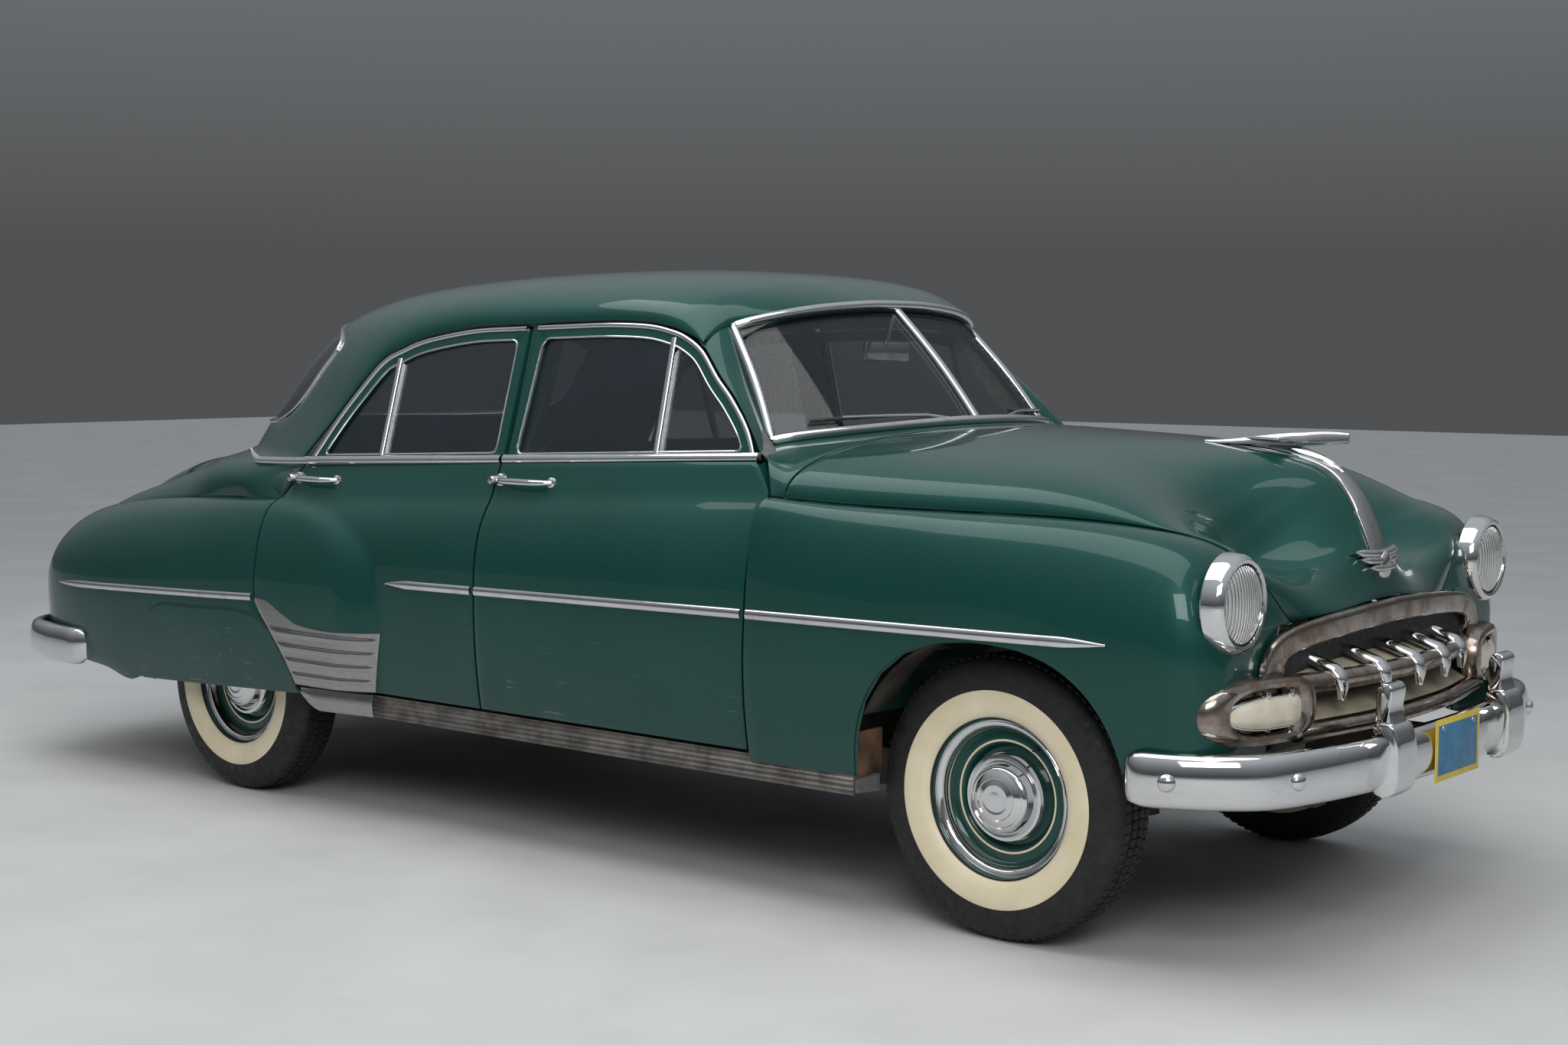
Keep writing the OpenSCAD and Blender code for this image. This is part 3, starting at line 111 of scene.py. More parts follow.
# height, ahead of the axle named
DOOR_FRONT = [[300, -715], [560, -716], [840, -706], [1000, -701], [1030, -698], [1052, -688], [1100, -724],
              [1148, -772]]
DOOR_REAR = [[300, 478], [398, 433], [480, 385], [560, 322], [620, 270], [655, 252], [900, 250], [950, 254],
             [1000, 285], [1066, 323], [1100, 340]]
# height, where the fender's swell begins ahead of the rear axle
SWELL = [[300, 740], [400, 761], [600, 798], [714, 784], [824, 734], [908, 595], [945, 440], [957, 300],
         [965, 200]]
# from the rear axle: fender half width, low edge, valley half width, crown height, then half width and
# height of the top
REAR = [[-1165, 716, 470, 575, 600, 490, 615], [-1120, 778, 440, 590, 690, 500, 705],
        [-1050, 830, 414, 618, 782, 512, 800], [-950, 876, 394, 655, 842, 536, 876],
        [-800, 908, 374, 692, 882, 556, 958], [-600, 926, 357, 722, 908, 568, 1018],
        [-400, 932, 342, 748, 925, 590, 1052], [-200, 936, 600, 776, 937, 706, 1056],
        [0, 939, 622, 806, 946, 762, 1057], [245, 939, 648, 834, 953, 783, 1063],
        [323, 939, 650, 836, 955, 786, 1066]]
# middle from the rear axle, middle height, edge, inset share
DECK = [[-660, 1054, -600, 0.15], [-790, 1018, -720, 0.15], [-920, 970, -840, 0.3], [-1030, 910, -940, 0.5],
        [-1112, 828, -1025, 0.75], [-1165, 722, -1082, 0.95], [-1192, 590, -1130, 1]]
# from the rear axle, how far the quarter and the deck lid are drawn down
SETTLE = [[-1165, 0], [-1120, 8], [-1050, 24], [-950, 38], [-800, 46], [-600, 38], [-400, 12], [-200, 0],
          [323, 0]]
# half width, front of the nose ahead of the axle
NOSE = [[0, 727], [200, 720], [350, 699], [440, 683], [500, 672], [600, 652], [700, 627], [770, 605],
        [820, 582], [850, 559], [868, 532], [873, 500]]
# half width, height, ahead, half breadth
GRILLE = [[0, 794, 640, 25], [200, 787, 634, 25], [350, 777, 622, 25], [450, 766, 610, 25],
          [520, 750, 600, 27], [556, 724, 595, 36], [566, 696, 592, 46], [568, 660, 592, 52]]
# from the rear axle, upper edge of the stone guard
GUARD = [[253, 655], [303, 651], [377, 618], [451, 590], [577, 578], [706, 580], [800, 584]]
# half width, back from the tip
BUMPER_FRONT = [[0, 0], [200, 5], [350, 16], [500, 38], [600, 60], [700, 90], [762, 124], [816, 182],
                [860, 250], [892, 325], [909, 400], [914, 436]]
BUMPER_REAR = [[0, 0], [250, 8], [500, 28], [650, 46], [760, 78], [845, 132], [902, 214], [932, 330],
               [945, 460], [948, 580]]
print(len(ROOF), "roof sections and", len(REAR), "rear sections")


# %% reading the tables
def clip(value, low=0.0, high=1.0):
    return min(max(value, low), high)


def read(rows, column, x):
    """One column of a table at x, along a smooth curve through its rows."""
    i = int(clip(sum(r[0] <= x for r in rows) - 1, 0, len(rows) - 2))
    a, b = rows[i], rows[i + 1]
    before, after = rows[max(i - 1, 0)], rows[min(i + 2, len(rows) - 1)]
    span = b[0] - a[0]
    u = clip((x - a[0]) / span)
    start = (b[column] - before[column]) / (b[0] - before[0]) * span
    end = (after[column] - a[column]) / (after[0] - a[0]) * span
    return (a[column] * (1 + 2 * u) * (1 - u) ** 2 + start * u * (1 - u) ** 2
            + b[column] * u * u * (3 - 2 * u) + end * u * u * (u - 1))


def between(rows, place):
    """A whole row at a fractional place in the table."""
    rows = np.asarray(rows, float)
    i = int(clip(math.floor(place), 0, len(rows) - 2))
    u = place - i
    b, c = rows[i], rows[i + 1]
    a = rows[i - 1] if i else 2 * b - c
    d = rows[i + 2] if i + 2 < len(rows) else 2 * c - b
    square, cube = 2 * a - 5 * b + 4 * c - d, 3 * b - a - 3 * c + d
    return (2 * b + (c - a) * u + square * u * u + cube * u ** 3) / 2


def circle(count):
    """Angles in equal steps round a full turn."""
    return np.linspace(0, 2 * math.pi, count, endpoint=False)


def travelled(points):
    """Length along a line from its start to each of its points."""
    return np.concatenate([[0], np.cumsum(np.linalg.norm(np.diff(points, axis=0), axis=1))])


def unit(rows):
    """Each row brought to length one."""
    return rows / np.linalg.norm(rows, axis=1, keepdims=True)


def bent(value, power):
    """A power that keeps the sign."""
    return math.copysign(abs(value) ** power, value)


print("hood over the front axle at", round(read(HOOD, 1, 0)))


# %% heights and half widths of the body
def belt(x):
    """Height of the line under the side windows."""
    return 1102 + 0.039 * x


def window_w(z):
    """Half width of the leaning side glass."""
    return 775 - math.tan(LEAN) * (z - 1105)


def door_w(x, z):
    """Half width of the doors."""
    crease = 1050 + 0.051 * (x - FX + 689)
    crease_w = 822 + 0.0068 * (FX - 689 - x)
    if z < WIDE_Z:
        return 900 - TUCK * ((WIDE_Z - z) / FALL) ** 2
    if z < crease:
        return 900 - (900 - crease_w) * ((z - WIDE_Z) / (crease - WIDE_Z)) ** 3.2
    return crease_w + (786 - crease_w) * clip((z - crease) / max(belt(x) - crease, 1))


def rear_top(o):
    """Height of the line between the quarter and the deck lid."""
    return read(REAR, 6, o) - read(SETTLE, 1, o)


def settled(x, w, z):
    """Height of a point of the plain part after the deck and the roof's front edge are drawn down."""
    if z > 1430 and x > FX - 1250:
        return min(z, read(BROW, 2, w) - 10 + 0.45 * (FX + read(BROW, 1, w) - 8 - x))
    o = clip(x - RX, -1165, 323)
    crown, top = read(REAR, 4, o) - 40, read(REAR, 6, o)
    return z - (read(SETTLE, 1, o) + 4) * clip((z - crown) / (top - crown)) * clip(-o / 200)


def raised(x, w, z):
    """Height of a point of the plain rear fender above the skin's lower edge."""
    return max(z, read(REAR, 2, clip(x - RX, -1165, -400)) + 4) if x < RX - 330 else z


def rear_wide(o):
    """Height of the rear fender's widest line."""
    return min(600, 0.45 * read(REAR, 2, min(o, -400)) + 0.55 * read(REAR, 4, o))


def fender_w(x, z):
    """Half width of the rear fender."""
    o = x - RX
    valley, crown, wide, h = read(REAR, 3, o), read(REAR, 4, o), read(REAR, 1, o), rear_wide(o)
    if z < h:
        return wide - 25 * ((h - z) / 280) ** 2
    return valley + (wide - valley) * math.sqrt(1 - clip((z - h) / (crown - h)) ** 2.4)


def rear_door_w(x, z):
    """Half width of the rear door, where the fender's swell begins."""
    d = door_w(x, z)
    if z > 964:
        return d
    return d + max(0, fender_w(x, z) - d) * math.sin(math.pi / 2 * clip((RX + read(SWELL, 1, z) - x) / 170))


def fender_front_w(x, z):
    """Half width of the front fender's flank."""
    low, high = max(WIDE_Z - z, 0), max(z - WIDE_Z, 0)
    return read(FRONT, 1, x - FX) - TUCK * (low / FALL) ** 2 - 30 * (high / 240) ** 2.2


def skirt_top(o):
    """Height of the wheel skirt's upper edge."""
    return 600 + 11 * clip((o + 195) / 325) - 15 * clip((o - 130) / 170) ** 2


print("belt at the door split", round(belt(SPLIT)), "half width", round(door_w(SPLIT, WIDE_Z)))

# %% [markdown]
# ## A small kit for shapes
#
# A `Shape` gathers closed solids in one mesh: panels from a net of points, lofts through rings,
# mouldings along a line and turned profiles. A panel gets its thickness from Solidify and its rolled
# edge from Bevel, as a pressed sheet has, and both are turned into plain mesh at once.


# %% shapes
# in metres: below this height the outside of a copied panel stays unpainted
UNPAINTED = 0.365


class Shape:
    def __init__(self):
        self.mesh = bmesh.new()
        self.finishes = []

    def index(self, finish):
        if finish not in self.finishes:
            self.finishes.append(finish)
        return self.finishes.index(finish)

    def take(self, mesh, finish):
        """Adds a finished mesh, in metres."""
        start = len(self.mesh.faces)
        self.mesh.from_mesh(mesh)
        self.mesh.faces.ensure_lookup_table()
        slot = self.index(finish)
        for face in self.mesh.faces[start:]:
            face.material_index = slot
        bpy.data.meshes.remove(mesh)

    def panel(self, rows, finish, depth=5.0, hole=None, roll=2.0):
        """Pressed sheet whose outer face passes through a net of points."""
        self.take(pressed(np.array(rows, float), depth, roll, hole), finish)

    def loft(self, rings, finish, closed=False, caps=True):
        """Solid through rings of equally many points; finish may be a list, one per band."""
        grid = [[self.mesh.verts.new(Vector(p) * MM) for p in ring] for ring in rings]
        count = len(grid[0])
        bands = list(zip(grid, grid[1:] + grid[:1])) if closed else list(zip(grid, grid[1:]))
        made = []
        for n, (a, b) in enumerate(bands):
            slot = self.index(finish[min(n, len(finish) - 1)] if isinstance(finish, list) else finish)
            for j in range(count):
                k = (j + 1) % count
                made.append((self.mesh.faces.new((a[j], a[k], b[k], b[j])), slot))
        if caps and not closed:
            ends = finish if isinstance(finish, list) else [finish]
            made.append((self.mesh.faces.new(grid[0][::-1]), self.index(ends[0])))
            made.append((self.mesh.faces.new(grid[-1]), self.index(ends[-1])))
        for face, slot in made:
            face.material_index = slot
        bmesh.ops.remove_doubles(self.mesh, verts=[v for ring in grid for v in ring], dist=1e-6)
        bmesh.ops.recalc_face_normals(self.mesh, faces=[f for f, _ in made if f.is_valid])

    def strip(self, path, outward, width, height, finish, tips=(0, 0), sink=3.0, sides=9, power=1.0):
        """Half-round moulding along a line on a surface; tips are the lengths of its pointed ends."""
        path = np.array(path, float)
        run = unit(np.gradient(path, axis=0))
        up = np.broadcast_to(np.array(outward, float), path.shape)
        up = unit(up - run * (up * run).sum(1, keepdims=True))
        across = np.cross(run, up)
        gone = travelled(path)
        rings = []
        for p, u, c, s in zip(path, up, across, gone):
            grow = 1.0
            for reach, tip in ((s, tips[0]), (gone[-1] - s, tips[1])):
                if tip:
                    grow = min(grow, max(0.08, clip(reach / tip)) ** 0.6)
            half, rise = width / 2 * grow, height * (0.4 + 0.6 * grow)
            turn = np.linspace(0, math.pi, sides)
            ring = [p + c * half * math.cos(a) + u * rise * math.sin(a) ** power for a in turn]
            rings.append(ring + [p - c * half - u * sink, p + c * half - u * sink])
        self.loft(rings, finish)

    def tube(self, path, radius, finish, sides=12, closed=False, hint=(0, 0, 1)):
        """Round bar along a line; radius may be a list."""
        path = np.array(path, float)
        run = unit(np.roll(path, -1, 0) - np.roll(path, 1, 0) if closed else np.gradient(path, axis=0))
        size = np.broadcast_to(np.array(radius, float), len(path))
        rings = []
        for p, r, s in zip(path, run, size):
            e = np.cross(r, hint)
            e /= max(np.linalg.norm(e), 1e-9)
            f = np.cross(e, r)
            rings.append([p + s * (e * math.cos(a) + f * math.sin(a)) for a in circle(sides)])
        self.loft(rings, finish, closed=closed)

    def spin(self, centre, axis, profile, finish, steps=64, closed=False):
        """Turned solid: profile is [radius, height along the axis]."""
        axis = Vector(axis).normalized()
        first = axis.orthogonal().normalized()
        second = axis.cross(first)
        around = [first * math.cos(a) + second * math.sin(a) for a in circle(steps)]
        rings = [[Vector(centre) + axis * h + way * max(r, 0.0005) for way in around] for r, h in profile]
        self.loft(rings, finish, closed=closed, caps=not closed)

    def block(self, low, high, finish, roll=3.0):
        """Box with rolled edges between two opposite corners."""
        low, high = Vector(list(map(min, low, high))) * MM, Vector(list(map(max, low, high))) * MM
        made = bmesh.ops.create_cube(self.mesh, size=1.0)
        for v in made["verts"]:
            v.co = Vector(low[i] + (high[i] - low[i]) * (v.co[i] + 0.5) for i in range(3))
        faces = {f for v in made["verts"] for f in v.link_faces}
        slot = self.index(finish)
        for face in faces:
            face.material_index = slot
        edges = list({e for f in faces for e in f.edges})
        bmesh.ops.bevel(self.mesh, geom=edges, offset=roll * MM, segments=2, profile=0.5, affect="EDGES",
                        clamp_overlap=True, material=-1)

    def inner(self, node, inset, finish, shift=None):
        """The plain panel of the part itself under a skin: paint on its outside, finish on its inside."""
        mesh = bmesh.new()
        mesh.from_mesh(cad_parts[node].data)
        bmesh.ops.remove_doubles(mesh, verts=mesh.verts, dist=1e-5)
        mesh.normal_update()
        for v in mesh.verts:
            if shift:
                v.co.z = shift(v.co.x / MM, abs(v.co.y) / MM, v.co.z / MM) * MM
            if v.normal.dot(outwards(v.co)) > 0:
                v.co -= v.normal * inset * MM
        mesh.normal_update()
        start = len(self.mesh.faces)
        copy = bpy.data.meshes.new("inner")
        mesh.to_mesh(copy)
        mesh.free()
        self.mesh.from_mesh(copy)
        bpy.data.meshes.remove(copy)
        self.mesh.faces.ensure_lookup_table()
        outside, inside = self.index(PAINT), self.index(finish)
        for face in self.mesh.faces[start:]:
            at = face.calc_center_median()
            shown = face.normal.dot(outwards(at)) > 0 and at.z > UNPAINTED
            face.material_index = outside if shown else inside

    def done(self, name, body, slot, *nodes):
        """Closes the mesh as one piece that rides on a body and stands for some nodes of the part."""
        for face in self.mesh.faces:
            face.smooth = True
        for edge in self.mesh.edges:
            edge.smooth = edge.calc_face_angle(0) < math.radians(38)
        mesh = bpy.data.meshes.new(name)
        self.mesh.to_mesh(mesh)
        self.mesh.free()
        for finish in self.finishes:
            mesh.materials.append(finish)
        obj = bpy.data.objects.new(name, mesh)
        bpy.context.scene.collection.objects.link(obj)
        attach(obj, body)
        if nodes:
            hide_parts(*nodes)
        return obj


print("shape kit ready")


# %% sheets, copies and lines on the flank
def outwards(point):
    """Rough direction out of the car at a point, in metres."""
    return Vector((0.3 * point.x, point.y, point.z - 0.6))


def plain_mesh(obj):
    """The object with its modifiers applied, as a mesh of its own; the object is removed."""
    bpy.context.view_layer.update()
    shown = obj.evaluated_get(bpy.context.evaluated_depsgraph_get())
    mesh = bpy.data.meshes.new_from_object(shown)
    mesh.materials.clear()
    old = obj.data
    bpy.data.objects.remove(obj)
    bpy.data.meshes.remove(old)
    return mesh


def pressed(net, depth, roll, hole=None):
    """Net of points to a sheet with thickness; hole = (rows, columns, function) leaves an opening."""
    rows, columns = net.shape[:2]
    normal = np.cross(np.gradient(net, axis=0), np.gradient(net, axis=1))
    core = net * (1, 0, 0) + (0, 0, 600)
    if (normal * (net - core)).sum() < 0:
        net = net[:, ::-1]
    mesh = bmesh.new()
    grid = [[mesh.verts.new(Vector(p) * MM) for p in row] for row in net]
    for i in range(rows - 1):
        for j in range(columns - 1):
            if hole and hole[0][0] <= i < hole[0][1] and hole[1][0] <= j < hole[1][1]:
                continue
            mesh.faces.new((grid[i][j], grid[i + 1][j], grid[i + 1][j + 1], grid[i][j + 1]))
    if hole:
        (i0, i1), (j0, j1), fill = hole
        edge = [(i, j0) for i in range(i0, i1)] + [(i1, j) for j in range(j0, j1)]
        edge += [(i, j1) for i in range(i1, i0, -1)] + [(i0, j) for j in range(j1, j0, -1)]
        before = [grid[i][j] for i, j in edge]
        for step in (0.25, 0.5, 0.75, 1.0):
            now = [mesh.verts.new(Vector(fill(i, j, step)) * MM) for i, j in edge]
            for n in range(len(edge)):
                m = (n + 1) % len(edge)
                mesh.faces.new((before[n], before[m], now[m], now[n]))
            before = now
    bmesh.ops.remove_doubles(mesh, verts=mesh.verts, dist=1e-6)
    data = bpy.data.meshes.new("net")
    mesh.to_mesh(data)
    mesh.free()
    obj = bpy.data.objects.new("net", data)
    bpy.context.scene.collection.objects.link(obj)
    shell = obj.modifiers.new("sheet", "SOLIDIFY")
    shell.thickness = depth * MM
    shell.offset = -1
    shell.use_even_offset = False
    edge = obj.modifiers.new("roll", "BEVEL")
    edge.width = roll * MM
    edge.segments = 2
    edge.limit_method = "ANGLE"
    edge.angle_limit = math.radians(60)
    return plain_mesh(obj)


def mirrored(rows, way):
    """A net of the right-hand side, or the same on the other side."""
    return np.array(rows, float) * (1, way, 1)


def on_side(xs, zs, surface, way):
    """Line on the body's side and the directions out of the surface there."""
    points, out = [], []
    for x, z in zip(xs, zs):
        w = surface(x, z)
        slope_x = (surface(x + 4, z) - surface(x - 4, z)) / 8
        slope_z = (surface(x, z + 4) - surface(x, z - 4)) / 8
        points.append((x, -w * way, z))
        out.append(Vector((-slope_x, -way, -slope_z)).normalized())
    return np.array(points), np.array(out)


print("sheets and flank lines ready")

# %% [markdown]
# ## Finishes
#
# Every finish is a small tree of nodes on the object's own coordinates, so it needs no picture. The
# paint is a green metallic base under clear lacquer, with dust low down, fine scratches on the lower
# door and skirt, and stone chips. The chrome is nearly clean on the bumper and brown with age on the
# grille. Window glass is only partly there: its Alpha keeps a dark, mirroring share and lets the rest of
# the light through to the cabin.


# %% node helpers
def start_finish(name, **values):
    """A new finish with constant values set on its shader."""
    made = bpy.data.materials.new(name)
    made.use_nodes = True
    shader = made.node_tree.nodes["Principled BSDF"]
    for key, value in values.items():
        shader.inputs[key.replace("_", " ")].default_value = value
    return made, made.node_tree, shader


def feed(tree, shader, **sources):
    """Links the outputs of other nodes to the shader's sockets."""
    for key, source in sources.items():
        tree.links.new(source, shader.inputs[key.replace("_", " ")])


def add(tree, kind, settings=None, **inputs):
    """A node with its settings; an input is a value or another node's output, i0 is the first socket."""
    made = tree.nodes.new(kind)
    for key, value in (settings or {}).items():
        setattr(made, key, value)
    for key, value in inputs.items():
        numbered = key[0] == "i" and key[1:].isdigit()
        socket = made.inputs[int(key[1:]) if numbered else key.replace("_", " ")]
        if isinstance(value, bpy.types.NodeSocket):
            tree.links.new(value, socket)
        else:
            socket.default_value = value
    return made


def place(tree, stretch=(1, 1, 1), turn=(0, 0, 0)):
    coords = add(tree, "ShaderNodeTexCoord").outputs["Object"]
    return add(tree, "ShaderNodeMapping", Vector=coords, Scale=stretch, Rotation=turn).outputs[0]


def noise(tree, scale, detail=3.0, stretch=(1, 1, 1), turn=(0, 0, 0), rough=0.5):
    return add(tree, "ShaderNodeTexNoise", Vector=place(tree, stretch, turn), Scale=scale, Detail=detail,
               Roughness=rough).outputs["Fac"]


def span(tree, value, low, high, first=0.0, last=1.0):
    """Stretches low..high to first..last and holds it there."""
    return add(tree, "ShaderNodeMapRange", {"clamp": True}, Value=value, From_Min=low, From_Max=high,
               To_Min=first, To_Max=last).outputs[0]


def times(tree, product, *others):
    for other in others:
        product = add(tree, "ShaderNodeMath", {"operation": "MULTIPLY"}, i0=product, i1=other).outputs[0]
    return product


def mix(tree, share, a, b):
    return add(tree, "ShaderNodeMix", {"data_type": "RGBA"}, i0=share, i6=a, i7=b).outputs[2]


def bump(tree, shader, height, strength, distance):
    made = add(tree, "ShaderNodeBump", Height=height, Strength=strength, Distance=distance)
    feed(tree, shader, Normal=made.outputs[0])


def axis_value(tree, axis):
    return add(tree, "ShaderNodeSeparateXYZ", Vector=place(tree)).outputs[axis]


def zone(tree, axis, low, high, soft):
    """One between low and high along an axis, in metres, fading over soft."""
    value = axis_value(tree, axis)
    return times(tree, span(tree, value, low - soft, low), span(tree, value, high, high + soft, 1.0, 0.0))


def rgb(r, g, b):
    return (r, g, b, 1.0)


def simple(name, first, second, scale, rough, metal=0.0, grain=0.0, stretch=(1, 1, 1), **values):
    """Two close tones mixed by a noise, with a roughness that wanders and a fine grain."""
    made, tree, shader = start_finish(name, Metallic=metal, **values)
    spots = noise(tree, scale, 4.0, stretch)
    colour = mix(tree, span(tree, spots, 0.35, 0.65), rgb(*first), rgb(*second))
    wander = noise(tree, scale * 2.3, 3.0, stretch)
    feed(tree, shader, Base_Color=colour, Roughness=span(tree, wander, 0.3, 0.7, rough * 0.8, rough * 1.25))
    if grain:
        bump(tree, shader, noise(tree, scale * 9, 2.0, stretch), grain, 0.002)
    return made


print("node helpers ready")


# %% paint, plated metal, glass and lamp glass
def paint(name, worn):
    """Green metallic under lacquer; worn adds scratches and stone chips."""
    made, tree, shader = start_finish(name, Metallic=0.25, Specular_IOR_Level=0.1, Coat_Weight=1.0,
                                      Coat_Roughness=0.025, Coat_IOR=1.34)
    tone = span(tree, noise(tree, 2.2, 3.0), 0.3, 0.7)
    colour = mix(tree, tone, rgb(0.004, 0.042, 0.035), rgb(0.006, 0.053, 0.044))
    flake = span(tree, noise(tree, 900.0, 1.0), 0.35, 0.65)
    colour = mix(tree, times(tree, flake, 0.3), colour, rgb(0.02, 0.13, 0.105))
    rough = span(tree, noise(tree, 5.0, 4.0), 0.3, 0.7, 0.3, 0.42)
    low = span(tree, axis_value(tree, 2), 0.3, 0.55, 0.18, 0.0)
    dust = times(tree, low, span(tree, noise(tree, 7.0, 5.0), 0.35, 0.7))
    colour = mix(tree, dust, colour, rgb(0.085, 0.075, 0.06))
    if worn:
        lines = span(tree, noise(tree, 1.0, 2.0, (5, 5, 260), (0, math.radians(14), 0)), 0.66, 0.7)
        gaps = span(tree, noise(tree, 9.0, 2.0), 0.5, 0.62)
        door = times(tree, zone(tree, 0, -0.03, 0.9, 0.1), zone(tree, 2, 0.42, 0.62, 0.06))
        skirt = times(tree, zone(tree, 0, -1.56, -0.9, 0.08), zone(tree, 2, 0.36, 0.56, 0.05))
        where = add(tree, "ShaderNodeMath", {"operation": "MAXIMUM"}, i0=door, i1=skirt).outputs[0]
        colour = mix(tree, times(tree, lines, gaps, where, 0.55), colour, rgb(0.2, 0.24, 0.21))
        cells = add(tree, "ShaderNodeTexVoronoi", Vector=place(tree), Scale=70.0)
        dots = span(tree, cells.outputs["Distance"], 0.1, 0.16, 1.0, 0.0)
        draw = add(tree, "ShaderNodeSeparateColor", Color=cells.outputs["Color"]).outputs[0]
        few = span(tree, draw, 0.86, 0.87)
        stony = times(tree, zone(tree, 0, -1.6, -0.85, 0.05), zone(tree, 2, 0.33, 0.5, 0.08))
        colour = mix(tree, times(tree, dots, few, stony), colour, rgb(0.3, 0.29, 0.25))
    feed(tree, shader, Base_Color=colour, Roughness=rough)
    return made


def chrome(name, wear, tone=(0.74, 0.75, 0.76)):
    """Plated metal; wear from 0 to 1 brings a brown film, rust and a duller face."""
    made, tree, shader = start_finish(name, Metallic=1.0)
    rust = span(tree, noise(tree, 14.0, 6.0, rough=0.65), 0.62 - 0.32 * wear, 0.78 - 0.2 * wear)
    film = span(tree, noise(tree, 3.0, 4.0), 0.35, 0.7, 0.0, 0.35 + 0.4 * wear)
    colour = mix(tree, film, rgb(*tone), rgb(0.52 - 0.2 * wear, 0.5 - 0.23 * wear, 0.47 - 0.24 * wear))
    colour = mix(tree, times(tree, rust, 0.25 + 0.6 * wear), colour, rgb(0.17, 0.105, 0.065))
    spots = noise(tree, 14.0, 6.0, rough=0.65)
    rough = span(tree, spots, 0.4, 0.75, 0.045 + 0.08 * wear, 0.12 + 0.4 * wear)
    feed(tree, shader, Base_Color=colour, Roughness=rough)
    return made


def steel(name, stretch):
    """Brushed sheet, its lines drawn out along one axis."""
    made, tree, shader = start_finish(name, Metallic=1.0)
    lines = noise(tree, 220.0, 3.0, stretch)
    colour = mix(tree, lines, rgb(0.26, 0.26, 0.25), rgb(0.46, 0.455, 0.44))
    feed(tree, shader, Base_Color=colour, Roughness=span(tree, noise(tree, 8.0, 4.0), 0.3, 0.7, 0.16, 0.3))
    bump(tree, shader, lines, 0.12, 0.0006)
    return made


def clear(name, tint, cover):
    """Window glass: a share of it is seen and mirrors, the rest lets light through."""
    made, tree, shader = start_finish(name, IOR=2.0, Roughness=0.0)
    dirt = span(tree, noise(tree, 6.0, 5.0), 0.5, 0.8)
    colour = mix(tree, dirt, rgb(*tint), rgb(*[1.6 * v for v in tint]))
    seen = span(tree, noise(tree, 3.0, 5.0), 0.4, 0.8, cover, cover + 0.04)
    feed(tree, shader, Base_Color=colour, Alpha=seen)
    return made


def ribbed(name, first, second):
    """Silvered lamp glass with upright ribs."""
    made, tree, shader = start_finish(name, Metallic=0.45, Coat_Weight=1.0, Coat_Roughness=0.02)
    colour = mix(tree, noise(tree, 40.0), rgb(*first), rgb(*second))
    feed(tree, shader, Base_Color=colour, Roughness=span(tree, noise(tree, 25.0), 0.3, 0.7, 0.12, 0.24))
    wave = add(tree, "ShaderNodeTexWave", {"bands_direction": "Y"}, Vector=place(tree), Scale=30.0,
               Distortion=0.6)
    bump(tree, shader, wave.outputs["Fac"], 1.0, 0.008)
    return made


print("makers of finishes ready")

# %% finishes of the car
PAINT = paint("green_paint", True)
WHEEL_PAINT = paint("wheel_green", False)
CHROME = chrome("bright_chrome", 0.0)
AGED = chrome("aged_chrome", 0.85, (0.5, 0.46, 0.42))
TRIM = chrome("trim_chrome", 0.18)
STEEL = steel("brushed_steel", (0.02, 1, 1))
STRIP = chrome("hood_strip_chrome", 0.3, (0.5, 0.52, 0.52))
BADGE = chrome("badge_metal", 0.35, (0.66, 0.67, 0.67))
ROCKER = simple("worn_sill_trim", (0.12, 0.11, 0.1), (0.24, 0.22, 0.2), 20.0, 0.42, 0.8, 0.1)
GLASS = clear("window_glass", (0.006, 0.014, 0.022), 0.42)
SCREEN = clear("screen_glass", (0.008, 0.014, 0.018), 0.22)
LENS = ribbed("ribbed_lamp_glass", (0.66, 0.67, 0.66), (0.8, 0.8, 0.78))
CREAM_LENS = simple("cream_lens", (0.62, 0.56, 0.42), (0.7, 0.65, 0.52), 30.0, 0.22, Coat_Weight=0.6)
RED_LENS = simple("red_lens", (0.3, 0.01, 0.008), (0.4, 0.02, 0.012), 40.0, 0.2, Coat_Weight=0.7)
RUBBER = simple("tyre_rubber", (0.006, 0.006, 0.0065), (0.013, 0.0125, 0.012), 26.0, 0.62, 0.0, 0.25)
WHITEWALL = simple("cream_wall", (0.72, 0.62, 0.42), (0.8, 0.71, 0.52), 9.0, 0.5, 0.0, 0.05)
GASKET = simple("window_rubber", (0.012, 0.012, 0.012), (0.03, 0.03, 0.03), 40.0, 0.6, 0.0, 0.2)
CLOTH = simple("seat_cloth", (0.07, 0.085, 0.075), (0.12, 0.135, 0.115), 420.0, 0.9, 0.0, 0.4,
               Sheen_Weight=0.3)
# a paler copy of the seat cloth: painted light on the front bench
LIT_CLOTH = simple("seat_cloth_painted_light", (0.12, 0.15, 0.12), (0.17, 0.2, 0.16), 300.0, 0.9, 0.0, 0.3,
                    Sheen_Weight=0.3)
LINING = simple("grey_lining", (0.1, 0.105, 0.1), (0.15, 0.15, 0.14), 60.0, 0.88, 0.0, 0.2)
DASH_PAINT = simple("dash_enamel", (0.05, 0.085, 0.07), (0.065, 0.1, 0.085), 6.0, 0.3, Coat_Weight=0.5)
PLASTIC = simple("dark_plastic", (0.014, 0.016, 0.016), (0.025, 0.027, 0.026), 20.0, 0.28)
IVORY = simple("ivory_plastic", (0.66, 0.6, 0.45), (0.72, 0.67, 0.53), 30.0, 0.25, Coat_Weight=0.4)
BLACK = simple("dusty_chassis", (0.014, 0.014, 0.013), (0.075, 0.065, 0.052), 9.0, 0.75, 0.0, 0.3)
